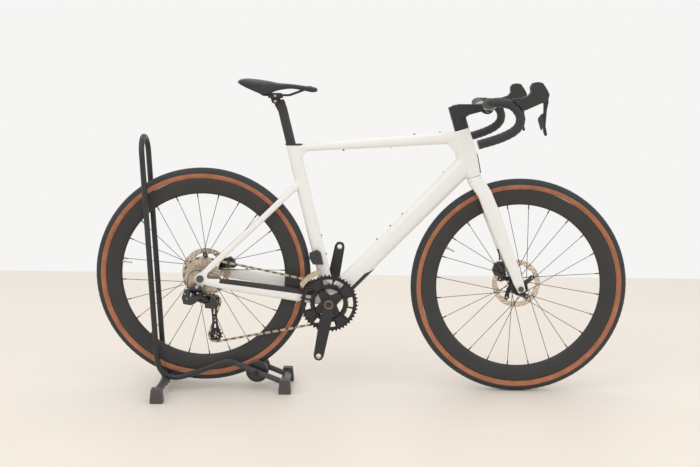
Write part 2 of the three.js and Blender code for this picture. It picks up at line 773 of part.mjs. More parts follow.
function cranks() {
  const tabInner = SMALL_RING_Y - RING_HALF - GAP;
  const tabOuter = LARGE_RING_Y + RING_HALF + GAP;
  const pedalHole = (side) => drum(pedalPoint(side), 7, side * 40, side * 90);
  const right = cut(
    join(
      crankArm(-1),
      drum(bb, 22, -BB_HALF - 6.5, -CRANK_FACE + 2, 20),
      star(discRadius(SMALL_RING_TEETH) - 1, 26, tabInner, tabOuter),
      star(RING_BORE - 1, 24, tabOuter, -58),
      drum(bb, SPINDLE, -60, 69, 20),
    ),
    pedalHole(-1),
  );
  node("crank_arm_right", right, "alloy_black");
  const left = cut(
    join(crankArm(1), drum(bb, 19, BB_HALF + 6.5, CRANK_FACE - 2, 20)),
    drum(bb, SPINDLE + GAP, 30, 69 + GAP, 20),
    pedalHole(1),
  );
  node("crank_arm_left", left, "alloy_black");
  node(
    "chainring_large",
    ring(bb, RING_BORE, LARGE_RING_TIP, LARGE_RING_Y - RING_HALF, LARGE_RING_Y + RING_HALF, 48),
    "alloy_black",
  );
  node(
    "chainring_small",
    ring(bb, 46, discRadius(SMALL_RING_TEETH), SMALL_RING_Y - RING_HALF, SMALL_RING_Y + RING_HALF, 36),
    "alloy_black",
  );
}

// The chain's pitch line over sprockets {centre, radius, sense, y}, taken clockwise where sense is 1.
function chainLine(sprockets) {
  const count = sprockets.length;
  const runs = sprockets.map((a, i) => {
    const b = sprockets[(i + 1) % count];
    const dx = b.centre.x - a.centre.x;
    const dz = b.centre.z - a.centre.z;
    const lean = Math.asin((a.sense * a.radius - b.sense * b.radius) / Math.hypot(dx, dz));
    return Math.atan2(dz, dx) - lean;
  });
  const points = [];
  sprockets.forEach((s, i) => {
    const enter = runs[(i + count - 1) % count] + (s.sense * Math.PI) / 2;
    let leave = runs[i] + (s.sense * Math.PI) / 2;
    const turn = 2 * Math.PI;
    if (s.sense > 0) while (leave > enter) leave -= turn;
    else while (leave < enter) leave += turn;
    if (Math.abs(leave - enter) > turn) leave += s.sense * turn;
    const steps = Math.max(3, Math.ceil(Math.abs(leave - enter) / rad(12)));
    for (let k = 0; k <= steps; k++) {
      const a = enter + ((leave - enter) * k) / steps;
      points.push(
        vector(s.centre.x + s.radius * Math.cos(a), s.y, s.centre.z + s.radius * Math.sin(a)),
      );
    }
  });
  return points;
}

function chain() {
  const line = chainLine([
    { centre: rearAxle, radius: pitchRadius(LARGE_COG_TEETH), sense: 1, y: LARGE_COG_Y },
    { centre: bb, radius: pitchRadius(SMALL_RING_TEETH), sense: 1, y: SMALL_RING_Y },
    { centre: tensionCentre, radius: pitchRadius(PULLEY_TEETH), sense: 1, y: LARGE_COG_Y },
    { centre: guideCentre, radius: pitchRadius(PULLEY_TEETH), sense: -1, y: LARGE_COG_Y },
  ]);
  const count = line.length;
  const sections = line.map((p, i) => {
    const along = line[(i + 1) % count].clone().sub(line[(i + count - 1) % count]);
    const normal = vector(-along.z, 0, along.x).normalize();
    return [[-1, -1], [1, -1], [1, 1], [-1, 1]].map(([n, y]) =>
      p.clone().addScaledVector(normal, n * CHAIN_HALF_HEIGHT).add(vector(0, y * CHAIN_HALF_WIDTH, 0)),
    );
  });
  node("chain", loft(sections, true), "steel");
}

function frontDerailleur() {
  const body = [[-65, 162], [-41, 172], [-28, 163], [-22, 135], [-19, 124], [-53, 124], [-65, 144]];
  node("front_derailleur_body", plate(from(bb, body), -21.5, -33.4), "plastic");
  const arc = (radius, start, end, steps) =>
    Array.from({ length: steps + 1 }, (_, i) => {
      const p = polar(bb, start + ((end - start) * i) / steps, radius);
      return [p.x, p.z];
    });
  const inside = LARGE_RING_TIP + 2.5;
  const blade = [...arc(inside, 106, 150, 5), ...arc(inside + 16, 147, 106, 4)];
  const innerY = -34.8;
  const outerY = -49.6;
  const tailBridge = [...arc(inside, 146.5, 150, 1), ...arc(inside + 5, 149.5, 146.5, 1)];
  const topBridge = [...arc(inside + 11, 106, 116, 2), ...arc(inside + 16, 116, 106, 2)];
  node(
    "front_derailleur_cage",
    join(
      plate(blade, innerY - 0.8, innerY + 0.8),
      plate(blade, outerY - 0.8, outerY + 0.8),
      plate(tailBridge, innerY, outerY),
      plate(topBridge, innerY, outerY),
    ),
    "steel",
  );
}

// The parallelogram works in a slanted frame: e1 forward, e2 inboard and down, e3 along the pins.
const slant = rad(LINK_SLANT);
const e1 = vector(1, 0, 0);
const e2 = vector(0, Math.cos(slant), -Math.sin(slant));
const e3 = vector(0, Math.sin(slant), Math.cos(slant));
const linkStep = (degrees, length) =>
  e1.clone().multiplyScalar(length * Math.cos(rad(degrees)))
    .addScaledVector(e2, length * Math.sin(rad(degrees)));
const cagePivot = vector(guideCentre.x, -52, guideCentre.z);
const knucklePins = cagePivot.clone().add(vector(-14, 0, 6));
const bodyPins = knucklePins.clone().sub(linkStep(LINK_REST, LINK_LENGTH));
const pinSpread = linkStep(LINK_MIDDLE + 90, LINK_SPACING / 2);

// An extrusion drawn in the slanted frame about a point.
function slantPlate(origin, points, low, high) {
  const shape = new THREE.Shape(points.map(([x, y]) => new THREE.Vector2(x, y)));
  const g = new THREE.ExtrudeGeometry(shape, { depth: high - low, bevelEnabled: false });
  g.translate(0, 0, low).applyMatrix4(new THREE.Matrix4().makeBasis(e1, e2, e3));
  return solid(g.translate(origin.x, origin.y, origin.z));
}

function rearDerailleur() {
  const slab = (origin, forward) => {
    const reach = forward ? [-7, 90] : [-90, 7];
    const box = [[reach[0], -40], [reach[1], -40], [reach[1], 40], [reach[0], 40]];
    return slantPlate(origin, box, -LINK_HALF - RUN, LINK_HALF + RUN);
  };
  const motor = [
    [-16, -20],
    [6, -23],
    [10, -38],
    [4, -60],
    [-12, -76],
    [-28, -84],
    [-52, -80],
    [-57, -58],
    [-48, -34],
    [-34, -31],
    [-28, -24],
  ];
  const motorFace = -(dropoutInner + 4.5 + GAP);
  node(
    "derailleur_mount_knuckle",
    cut(plate(from(rearAxle, motor), motorFace, motorFace - 18), slab(bodyPins, true)),
    "plastic",
  );
  for (const [name, sign] of [["outer", -1], ["inner", 1]]) {
    const start = bodyPins.clone().addScaledVector(pinSpread, sign);
    const way = rad(LINK_REST);
    const outline = [];
    for (const [end, turn] of [[LINK_LENGTH, -90], [0, 90]]) {
      for (let a = 0; a <= 180; a += 45) {
        const t = way + rad(turn + a);
        const r = 4.6;
        outline.push([end * Math.cos(way) + r * Math.cos(t), end * Math.sin(way) + r * Math.sin(t)]);
      }
    }
    node("derailleur_link_" + name, slantPlate(start, outline, -LINK_HALF, LINK_HALF), "plastic");
  }
  const block = [[-24, 28], [-4, 28], [10, 16], [10, -14], [-4, -16], [-24, -14]];
  const cageTop = LARGE_COG_Y - CAGE_HALF_GAP - CAGE_PLATE - RUN;
  node(
    "derailleur_cage_knuckle",
    cut(
      join(plate(from(guideCentre, block), -40, -63), drum(guideCentre, 16.5, cageTop, -60, 20)),
      slab(knucklePins, false),
    ),
    "plastic",
  );
  const outline = (topRadius, lowRadius) => {
    const away = CAGE_ANGLE;
    const arc = (centre, radius, start, end) =>
      Array.from({ length: 6 }, (_, i) => {
        const p = polar(centre, start + ((end - start) * i) / 5, radius);
        return [p.x, p.z];
      });
    return [
      ...arc(guideCentre, topRadius, away + 90, away + 270),
      ...arc(tensionCentre, lowRadius, away - 90, away + 90),
    ];
  };
  const slot = [0.28, 0.72].flatMap((t, i) => {
    const p = between(guideCentre, tensionCentre, t);
    return (i ? [1, -1] : [-1, 1]).map((s) => {
      const q = polar(p, CAGE_ANGLE + 90, s * 4.5);
      return [q.x, q.z];
    });
  });
  const outerY = LARGE_COG_Y - CAGE_HALF_GAP;
  const innerY = LARGE_COG_Y + CAGE_HALF_GAP;
  const bolts = [guideCentre, tensionCentre].map((p) => drum(p, 3, outerY - 1, innerY - GAP, 10));
  node(
    "derailleur_cage_outer",
    join(plate(outline(13, 15), outerY - CAGE_PLATE, outerY, [slot]), ...bolts),
    "alloy_black",
  );
  node("derailleur_cage_inner", plate(outline(11, 15), innerY, innerY + CAGE_PLATE, [slot]), "alloy_black");
  for (const [name, centre] of [["guide", guideCentre], ["tension", tensionCentre]]) {
    const disc = ring(
      centre,
      3 + RUN,
      discRadius(PULLEY_TEETH),
      LARGE_COG_Y - 2.2,
      LARGE_COG_Y + 2.2,
      22,
    );
    node(name + "_pulley", disc, "plastic");
  }
  const y = -(dropoutOuter + 3);
  const wire = new THREE.CatmullRomCurve3([
    vector(rearAxle.x + 3, y + 1, rearAxle.z + 27),
    vector(rearAxle.x - 18, y - 1, rearAxle.z + 27),
    vector(rearAxle.x - 33, y - 3, rearAxle.z + 15),
    vector(rearAxle.x - 38, y - 4, rearAxle.z - 3),
    vector(rearAxle.x - 38.5, y - 4, rearAxle.z - 20),
    vector(rearAxle.x - 38, y - 3, rearAxle.z - 29.5),
  ]);
  node("shift_wire", rod(wire.getPoints(14), SHIFT_WIRE, 6), "rubber");
}

// ---------------------------------------------------------------- fork and cockpit

const steerVector = (s, forward = 0, y = 0) => {
  const p = steerPoint(s, forward);
  return vector(p.x, y, p.z);
};

// Fork blade stations: share of the way to the axle, forward shift, sideways place, half sizes.
const BLADE_OUT = FRONT_HUB_HALF + GAP;
const BLADE = [
  [0.03, 0, 24, 24, 12],
  [0.148, 10, 40, 23, 11],
  [0.305, 9, 47, 24, 10],
  [0.425, 8, 51.5, 23, 9],
  [0.678, 3.5, 56.2, 20, 8],
  [0.832, 3, BLADE_OUT + 8, 17.5, 7.6],
  [0.944, 1.5, BLADE_OUT + 7.3, 17, 7],
  [1.03, 1, BLADE_OUT + 6.2, 12, 6],
];

function fork() {
  const blades = SIDES.map((side) =>
    shapedTube(
      BLADE.map(([t, shift, y, deep, wide]) => ({
        p: offset(between(crown, frontAxle, t), shift, 0),
        y: side * y,
        deep,
        wide,
      })),
      12,
      2.6,
    ),
  );
  const crownBody = shapedTube(
    [
      [-GAP, 24.5, 29, 0],
      [-5, 24.5, 31, 0],
      [-14, 23, 34, 3],
      [-26, 19, 38, 7],
    ].map(([s, deep, wide, forward]) => ({ p: steerPoint(s, forward), deep, wide })),
    14,
    2.6,
  );
  const steerer = rod([steerVector(-6), steerVector(stackTop + STEM_HEIGHT - 12)], STEERER, 16);
  return cut(
    join(crownBody, ...blades, steerer),
    drum(frontAxle, THRU_AXLE + GAP, -FRONT_HUB_HALF - 30, FRONT_HUB_HALF + 30),
  );
}

// Handlebar centre line from the middle to the right end, measured from the clamp's centre,
// as [x, distance from the middle, z, half chord, half height].
const BAR = [
  [0, 24, 0, BAR_CLAMP, BAR_CLAMP],
  [1, 38, 1, 20, 13],
  [-5, 100, 7, 22, 12.5],
  [-13, BAR_HALF - 56, 14, 20, 13],
  [-13, BAR_HALF - 30, 17, BAR_RADIUS + 1, BAR_RADIUS],
  [0, BAR_HALF - 14, 18, BAR_RADIUS, BAR_RADIUS],
  [25, BAR_HALF - 5, 17, BAR_RADIUS, BAR_RADIUS],
  [48, BAR_HALF, 11, BAR_RADIUS, BAR_RADIUS],
  [64, BAR_HALF + BAR_FLARE * 0.14, -3, BAR_RADIUS, BAR_RADIUS],
  [74.5, BAR_HALF + BAR_FLARE * 0.27, -23, BAR_RADIUS, BAR_RADIUS],
  [72.5, BAR_HALF + BAR_FLARE * 0.41, -46, BAR_RADIUS, BAR_RADIUS],
  [57, BAR_HALF + BAR_FLARE * 0.6, -65, BAR_RADIUS, BAR_RADIUS],
  [29, BAR_HALF + BAR_FLARE * 0.73, -81, BAR_RADIUS, BAR_RADIUS],
  [-5, BAR_HALF + BAR_FLARE * 0.86, -94, BAR_RADIUS, BAR_RADIUS],
  [-50, BAR_HALF + BAR_FLARE, -107, BAR_RADIUS, BAR_RADIUS],
];

function barTube(grow = 0) {
  const mirrored = BAR.map(([x, y, z, a, b]) => [x, -y, z, a, b]);
  const rows = [...mirrored.reverse(), ...BAR];
  return rod(
    rows.map(([x, y, z]) => vector(barCentre.x + x, y, barCentre.z + z)),
    rows.map(([, y, , a, b]) => (Math.abs(y) < BAR_HALF - 40 ? [b + grow, a + grow] : a + grow)),
    10,
  );
}

const HOOD = [
  [50, 31],
  [76, 33],
  [96, 40],
  [104, 50],
  [102, 67],
  [109, 78],
  [124, 81],
  [137, 78],
  [150, 60],
  [158, 45],
  [155, 28],
  [144, 18],
  [136, 18],
  [114, 8],
  [88, -4],
  [76, 3],
  [62, 14],
];
const LEVER = [
  [143, 34],
  [153, 36],
  [158, 24],
  [153, -4],
  [151, -50],
  [157, -77],
  [151, -80],
  [145.5, -68],
  [144, -30],
  [144, 8],
  [143, 22],
];
const LEVER_PIVOT = [148, 30];
const PADDLE = [[143.4, -12], [138, -14], [128, -27], [128, -33], [138, -64], [143.4, -58]];

function cockpit() {
  node("fork", fork(), "frame_paint");
  const headY = FRONT_HUB_HALF + 15.5;
  node(
    "front_thru_axle",
    join(drum(frontAxle, THRU_AXLE, -headY, headY - 4, 16), drum(frontAxle, 9, -headY - 3, -headY, 16)),
    "alloy_black",
  );
  const spacerRow = (s) => ({ p: steerPoint(s, 4), deep: 23.5, wide: 20 });
  const spacerLow = HEAD_TUBE + GAP;
  const bore = rod([steerVector(HEAD_TUBE - 5), steerVector(stackTop + STEM_HEIGHT - 11)], STEERER + GAP, 16);
  node(
    "headset_spacer",
    cut(shapedTube([spacerRow(spacerLow), spacerRow(spacerLow + SPACER_HEIGHT - GAP)], 14, 3), bore),
    "plastic",
  );
  const reach = STEM_REACH;
  const stemOutline = [
    [-19, 0],
    [27, 0],
    [38, 4],
    [reach - 22, 3],
    [reach - 10, -7],
    [reach, 27],
    [reach - 22, 27.5],
    [16, STEM_HEIGHT],
    [-18.5, STEM_HEIGHT - 1],
  ].map(([forward, height]) => steerPoint(stackTop + GAP + height, forward));
  const stem = cut(
    join(
      plate(stemOutline.map((p) => [p.x, p.z]), -18, 18),
      drum(barCentre, BAR_CLAMP + 4.5, -21, 21, 20),
    ),
    drum(barCentre, BAR_CLAMP + GAP, -40, 40, 20),
    bore,
  );
  node("stem", stem, "black_paint");
  node("handlebar", barTube(), "rubber");
  for (const side of SIDES) {
    const name = sideName(side);
    const middle = side * BAR_HALF;
    const pivot = { x: barCentre.x + LEVER_PIVOT[0], z: barCentre.z + LEVER_PIVOT[1] };
    const mouth = from(barCentre, [[139, 2], [176, 2], [176, 46], [139, 46]]);
    const hood = cut(
      plate(from(barCentre, HOOD), middle - HOOD_HALF, middle + HOOD_HALF),
      barTube(RUN),
      drum(pivot, 11, middle - LEVER_HALF - 1, middle + LEVER_HALF + 1, 16),
      plate(mouth, middle - LEVER_HALF - 1, middle + LEVER_HALF + 1),
    );
    node("hood_" + name, hood, "rubber");
    node(
      "brake_lever_" + name,
      plate(from(barCentre, LEVER), middle - LEVER_HALF, middle + LEVER_HALF),
      "alloy_black",
    );
    node("shift_paddle_" + name, plate(from(barCentre, PADDLE), middle - 4, middle + 4), "plastic");
  }
}

// ---------------------------------------------------------------- seat

const postHead = seatPoint(SEAT_TUBE + SEATPOST_SHOWN, -15);
const RAIL_RADIUS = 3.5;
const RAIL_HALF = 22;
const RAIL_HEIGHT = 19; // rail above the post head's bolt
const HEAD_BARREL = 8;

function railWire(grow = 0) {
  const at = (x, y, z) => vector(postHead.x + x, y, postHead.z + RAIL_HEIGHT + z);
  const half = [
    [at(-78, 29, 28), 0],
    [at(-38, RAIL_HALF, 0), 14],
    [at(44, RAIL_HALF, 0), 16],
    [at(98, 13, 20), 10],
    [at(112, 5, 22), 0],
  ];
  const other = half.map(([p, r]) => [vector(p.x, -p.y, p.z), r]).reverse();
  return rod([...rounded(half, 3), ...rounded(other, 3)], RAIL_RADIUS + grow, 6);
}

// Saddle stations from tail to nose: x, half width, top, rim of the skirt, underside at the middle.
const SADDLE = [
  [-116, 44, 64, 56, 58],
  [-106, 62, 69, 50, 56],
  [-86, 71, 71, 40, 51],
  [-56, 72, 69, 27, 46],
  [-34, 66, 66, 19, 43],
  [-16, 52, 63, 26, 41],
  [8, 37, 58, 34, 41],
  [50, 26, 55, 39, 44],
  [88, 22, 50, 34, 44],
  [114, 19, 46, 27, 42],
  [128, 14, 43, 29, 38],
  [134, 8, 40, 32, 36],
];

function saddleSection([x, wide, top, skirt, under]) {
  const high = top - skirt;
  const half = [
    [0, top],
    [0.45 * wide, top - 0.02 * high],
    [0.8 * wide, top - 0.14 * high],
    [wide, top - 0.4 * high],
    [wide * 0.98, skirt + 0.1 * high],
    [wide - 4, skirt],
    [Math.max(wide - 9, 0.35 * wide), Math.min(under, top - 6)],
    [0, Math.min(under + 1.5, top - 5)],
  ];
  const other = half.slice(1, -1).map(([y, z]) => [-y, z]).reverse();
  return [...half, ...other].map(([y, z]) => vector(postHead.x + x, y, postHead.z + z));
}

function seat() {
  const row = (s, deep, wide, forward = 0) => ({ p: seatPoint(s, forward), deep, wide });
  const base = SEAT_TUBE - SEATPOST_INSERTED;
  const neck = SEAT_TUBE + SEATPOST_SHOWN;
  const d = POST_DEPTH / 2;
  const w = POST_WIDTH / 2;
  const head = [
    [-34, d - 1],
    [-10, d - 2],
    [0, 11],
    [2, -6],
    [2, -21],
    [-14, -20],
    [-34, 1 - d],
  ].map(([s, forward]) => seatPoint(neck + s, forward));
  const post = join(
    shapedTube([row(base, d, w), row(neck - 60, d, w), row(neck - 24, d, w)]),
    plate(head.map((p) => [p.x, p.z]), -w + 2, w - 2),
    drum(postHead, HEAD_BARREL, -16, 16, 16),
  );
  node("seatpost", post, "carbon");
  const cradle = [[-22, 9.5], [-22, 14], [-17, 26], [17, 26], [22, 14], [22, 9.5]];
  const clamp = cut(
    plate(from(postHead, cradle), -29, 29),
    plate(from(postHead, [[-40, 13.5], [40, 13.5], [40, 60], [-40, 60]]), -RAIL_HALF + 7, RAIL_HALF - 7),
    ...SIDES.map((side) =>
      rod(
        [-60, 60].map((x) => vector(postHead.x + x, side * RAIL_HALF, postHead.z + RAIL_HEIGHT)),
        RAIL_RADIUS + RUN,
        8,
      ),
    ),
  );
  node("saddle_clamp", clamp, "alloy_black");
  node("saddle_rails", railWire(), "steel");
  node("saddle_cover", cut(loft(SADDLE.map(saddleSection)), railWire(GAP)), "saddle_skin");
}

// ---------------------------------------------------------------- stand

function stand() {
  const half = [
    [frontBar, 0],
    [offset(rollerCentre, -90, 39), 62],
    [{ x: rearBar.x - 21.5, z: rearBar.z - 17 }, 78],
  ];
  const foot = half[2][0];
  const behind = rearAxle.x - foot.x + 42;
  const tyreTop = rearAxle.z + Math.sqrt(TYRE_RADIUS ** 2 - behind ** 2);
  const lean = (height) => foot.x - (height - foot.z) * 0.0555;
  const arch = tyreTop + HOOP_CLEARANCE;
  const spring = arch - HOOP_HALF;
  const near = rounded(
    [
      ...half.map(([p, r]) => [vector(p.x, -HOOP_HALF, p.z), r]),
      [vector(lean(spring), -HOOP_HALF, spring), 0],
    ],
    5,
  );
  const over = [];
  for (let a = 20; a < 180; a += 20) {
    const z = spring + HOOP_HALF * Math.sin(rad(a));
    over.push(vector(lean(z), -HOOP_HALF * Math.cos(rad(a)), z));
  }
  const far = near.map((p) => vector(p.x, -p.y, p.z)).reverse();
  const bar = (p, radius, length) => drum(p, radius, -length, length, 16);
  const frontHalf = FRONT_FOOT_HALF - 5;
  const rearHalf = REAR_FOOT_HALF - 5;
  const axleBore = bar(rollerCentre, ROLLER_AXLE + GAP, 80);
  // Ears beside the hoop's tubes brace the rear crossbar.
  const ears = SIDES.map((side) =>
    plate(
      from(rearBar, [[-8, 0], [-20, 27], [-13, 38], [3, 25], [8, 0]]),
      side * (HOOP_HALF - HOOP_TUBE + 2),
      side * (HOOP_HALF - HOOP_TUBE - 5),
    ),
  );
  node(
    "stand_hoop",
    cut(
      join(
        rod([...near, ...over, ...far], HOOP_TUBE, 10),
        bar(frontBar, CROSS_TUBE, frontHalf),
        bar(rearBar, CROSS_TUBE, rearHalf),
        ...ears,
      ),
      axleBore,
    ),
    "black_paint",
  );
  node("stand_roller_axle", bar(rollerCentre, ROLLER_AXLE, HOOP_HALF + HOOP_TUBE + 5), "steel");
  for (const side of SIDES) {
    const profile = [
      [ROLLER_AXLE + RUN, 1],
      [ROLLER_CORE - 0.2, 1],
      [ROLLER_CORE - 0.2, 8],
      [ROLLER_CORE + 4, 15],
      [ROLLER_FLANGE - 7, 25],
      [ROLLER_FLANGE, 28],
      [ROLLER_FLANGE, 37],
      [ROLLER_FLANGE - 5, HOOP_HALF - HOOP_TUBE - 3],
      [ROLLER_AXLE + RUN, HOOP_HALF - HOOP_TUBE - 3],
    ];
    node(
      "stand_roller_" + sideName(side),
      spun(profile.map(([r, y]) => [r, side * y]), rollerCentre, 16),
      "plastic",
    );
    for (const [place, centre, span, tube] of [
      ["front", frontBar, FRONT_FOOT_HALF, frontHalf],
      ["rear", rearBar, REAR_FOOT_HALF, rearHalf],
    ]) {
      const w = FOOT_WIDTH / 2;
      const block = [
        [-w, 0],
        [w, 0],
        [w, 12],
        [w - 4, FOOT_HEIGHT],
        [4 - w, FOOT_HEIGHT],
        [-w, 12],
      ];
      const shoe = plate(from({ x: centre.x, z: 0 }, block), side * (span - FOOT_LENGTH), side * span);
      const socket = drum(centre, CROSS_TUBE + GAP, -tube - GAP, tube + GAP, 16);
      node(`stand_foot_${place}_${sideName(side)}`, cut(shoe, socket), "rubber");
    }
  }
}

// ---------------------------------------------------------------- assembly

wheels();
cassette();
frameParts();
brakes();
cranks();
chain();
frontDerailleur();
rearDerailleur();
cockpit();
seat();
stand();

const extent = new THREE.Box3().setFromObject(bicycle);
bicycle.position.set(-(extent.min.x + extent.max.x) / 2, 0, -extent.min.z);

const whole = new THREE.Group();
whole.add(bicycle);
export default whole;
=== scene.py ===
"""A white drop-bar bicycle on a roller stand: its looks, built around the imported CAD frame."""
import json
import math

import bmesh
import bpy
import numpy as np
from mathutils import Matrix, Vector
from mathutils.geometry import tessellate_polygon

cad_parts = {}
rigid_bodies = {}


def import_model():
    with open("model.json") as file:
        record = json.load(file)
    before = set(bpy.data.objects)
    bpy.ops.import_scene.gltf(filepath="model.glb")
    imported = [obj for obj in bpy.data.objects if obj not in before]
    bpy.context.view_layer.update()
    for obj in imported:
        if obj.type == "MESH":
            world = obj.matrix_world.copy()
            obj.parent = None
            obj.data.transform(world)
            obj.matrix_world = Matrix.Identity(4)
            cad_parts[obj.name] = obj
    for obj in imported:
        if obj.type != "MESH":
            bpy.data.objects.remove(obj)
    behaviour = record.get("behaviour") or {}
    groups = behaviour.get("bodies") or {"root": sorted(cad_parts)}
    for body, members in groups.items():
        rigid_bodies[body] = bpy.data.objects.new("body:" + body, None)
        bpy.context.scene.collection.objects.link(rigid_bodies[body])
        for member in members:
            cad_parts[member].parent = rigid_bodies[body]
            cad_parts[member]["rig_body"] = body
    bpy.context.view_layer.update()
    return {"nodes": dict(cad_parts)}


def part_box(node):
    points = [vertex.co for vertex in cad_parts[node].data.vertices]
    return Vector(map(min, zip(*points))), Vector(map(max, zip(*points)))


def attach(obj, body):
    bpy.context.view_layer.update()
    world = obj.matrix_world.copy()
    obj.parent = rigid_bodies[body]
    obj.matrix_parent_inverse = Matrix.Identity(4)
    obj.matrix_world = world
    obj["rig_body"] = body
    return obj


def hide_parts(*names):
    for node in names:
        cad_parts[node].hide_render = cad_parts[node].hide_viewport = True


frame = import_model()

# Lengths are in millimetres until a mesh is made; MM turns them into metres.
MM = 0.001
SIDES = {"right": -1, "left": 1}
TYRE_RADIUS = 352
TYRE_HALF = 20
RIM_INNER = 267.3
SPOKES_PER_SIDE = 12
SPOKE_LEAD = 60
REAR_WHEEL_TURN = 3.8
FRONT_WHEEL_TURN = -5.6
ROTOR_RADIUS = 80
LINK_PITCH = 12.7
LARGE_RING_TEETH = 46
SMALL_RING_TEETH = 30
PULLEY_TEETH = 11
COGS = (30, 27, 24, 21, 19, 17, 16, 15, 14, 13, 12, 11)
CRANK_ANGLE = -100.5
BAR_HALF = 205
BAR_FLARE = 22
HOOP_HALF = 52
HOOP_TUBE = 9
CROSS_TUBE = 12.7
CROWN_SPACE = 37
RAKE = 44
HEAD_TUBE = 157
BAR_STACK = 200.3
STEM_REACH = 100
POST_HEIGHT, POST_SETBACK = 672, 15
CRANK_LENGTH = 172.5
CAGE_HALF_GAP = 4.9
RAIL_HALF, RAIL_HEIGHT, RAIL_RADIUS = 22, 19, 3.5
RUN = 0.4
REAR_BAR_ANGLE = -109.5
FRONT_BAR_AHEAD, FRONT_BAR_HEIGHT = 94, 28


# ---------------------------------------------------------------- places

def middle(node):
    low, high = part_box(node)
    return (low + high) / 2 / MM


def polar(centre, degrees, length, y=None):
    a = math.radians(degrees)
    height = centre.y if y is None else y
    return Vector((centre.x + length * math.cos(a), height, centre.z + length * math.sin(a)))


front_axle = middle("front_rim")
rear_axle = middle("rear_rim")
large_ring = middle("chainring_large")
small_ring = middle("chainring_small")
bracket = Vector((large_ring.x, 0, large_ring.z))
guide = middle("guide_pulley")
tension = middle("tension_pulley")
roller = middle("stand_roller_axle")
big_cog_y = guide.y
STEER_UP, STEER_FORWARD = 107, 17
SEAT_UP, SEAT_FORWARD = 103.96, 13.96
crown_rise = math.sqrt((TYRE_RADIUS + CROWN_SPACE) ** 2 - RAKE**2)
crown = polar(polar(front_axle, STEER_FORWARD, -RAKE), STEER_UP, crown_rise)


def steer_point(height, forward=0, y=0):
    return polar(polar(crown, STEER_UP, height), STEER_FORWARD, forward, y)


def seat_point(height, forward=0, y=0):
    return polar(polar(bracket, SEAT_UP, height), SEAT_FORWARD, forward, y)


bar_centre = steer_point(BAR_STACK, STEM_REACH)
post_head = seat_point(POST_HEIGHT, -POST_SETBACK)


# ---------------------------------------------------------------- finishes

def srgb(red, green, blue):
    def linear(c):
        c /= 255
        return c / 12.92 if c < 0.04045 else ((c + 0.055) / 1.055) ** 2.4

    return (linear(red), linear(green), linear(blue), 1)


def texture(nodes, links, place, kind, scale, centre=None):
    """A pattern's grey output, over the object's own space."""
    mapping = nodes.new("ShaderNodeMapping")
    mapping.vector_type = "POINT"
    if centre is not None:
        mapping.inputs["Location"].default_value = -centre * MM
    links.new(place, mapping.inputs["Vector"])
    if kind == "cells":
        node = nodes.new("ShaderNodeTexVoronoi")
        node.inputs["Scale"].default_value = scale
        links.new(mapping.outputs["Vector"], node.inputs["Vector"])
        return node.outputs["Distance"]
    if kind in ("bands", "rings"):
        node = nodes.new("ShaderNodeTexWave")
        node.wave_type = "RINGS" if kind == "rings" else "BANDS"
        if kind == "rings":
            node.rings_direction = "Y"
        else:
            node.bands_direction = "DIAGONAL"
        node.inputs["Scale"].default_value = scale
        node.inputs["Distortion"].default_value = 0.6
        node.inputs["Detail"].default_value = 2
        links.new(mapping.outputs["Vector"], node.inputs["Vector"])
        return node.outputs["Fac"]
    node = nodes.new("ShaderNodeTexNoise")
    node.inputs["Scale"].default_value = scale
    node.inputs["Detail"].default_value = 6
    links.new(mapping.outputs["Vector"], node.inputs["Vector"])
    return node.outputs["Fac"]


def finish(name, colour, rough, metal=0.0, tint=0.08, swing=0.08, kind="noise", grain=500, depth=0.1,
           coat=0.0, coat_rough=0.08, sheen=0.0, wear=0.0, centre=None, blotch=7):
    """A shader with cloudy colour, uneven gloss, a fine relief and lighter worn edges."""
    made = bpy.data.materials.new(name)
    made.use_nodes = True
    nodes, links = made.node_tree.nodes, made.node_tree.links
    shader = nodes["Principled BSDF"]
    place = nodes.new("ShaderNodeTexCoord").outputs["Object"]
    cloud = texture(nodes, links, place, "noise", blotch)
    ramp = nodes.new("ShaderNodeValToRGB")
    dark = tuple(c * (1 - tint) for c in colour[:3])
    light = tuple(min(1, c * (1 + tint)) for c in colour[:3])
    ramp.color_ramp.elements[0].position = 0.3
    ramp.color_ramp.elements[0].color = (*dark, 1)
    ramp.color_ramp.elements[1].position = 0.7
    ramp.color_ramp.elements[1].color = (*light, 1)
    links.new(cloud, ramp.inputs["Fac"])
    paint = ramp.outputs["Color"]
    if wear:
        edge = nodes.new("ShaderNodeMapRange")
        edge.inputs["From Min"].default_value = 0.52
        edge.inputs["From Max"].default_value = 0.62
        edge.inputs["To Max"].default_value = wear
        links.new(nodes.new("ShaderNodeNewGeometry").outputs["Pointiness"], edge.inputs["Value"])
        mix = nodes.new("ShaderNodeMix")
        mix.data_type = "RGBA"
        mix.inputs["B"].default_value = (*[min(1, 0.25 + 0.6 * c) for c in colour[:3]], 1)
        links.new(edge.outputs["Result"], mix.inputs["Factor"])
        links.new(paint, mix.inputs["A"])
        paint = mix.outputs["Result"]
    links.new(paint, shader.inputs["Base Color"])
    gloss = nodes.new("ShaderNodeMapRange")
    gloss.inputs["To Min"].default_value = max(0.02, rough - swing)
    gloss.inputs["To Max"].default_value = min(1, rough + swing)
    links.new(texture(nodes, links, place, "noise", 40), gloss.inputs["Value"])
    links.new(gloss.outputs["Result"], shader.inputs["Roughness"])
    bump = nodes.new("ShaderNodeBump")
    bump.inputs["Strength"].default_value = depth
    bump.inputs["Distance"].default_value = 0.001
    relief = texture(nodes, links, place, kind, grain, centre)
    links.new(relief, bump.inputs["Height"])
    links.new(bump.outputs["Normal"], shader.inputs["Normal"])
    shader.inputs["Metallic"].default_value = metal
    shader.inputs["Coat Weight"].default_value = coat
    shader.inputs["Coat Roughness"].default_value = coat_rough
    shader.inputs["Sheen Weight"].default_value = sheen
    return made


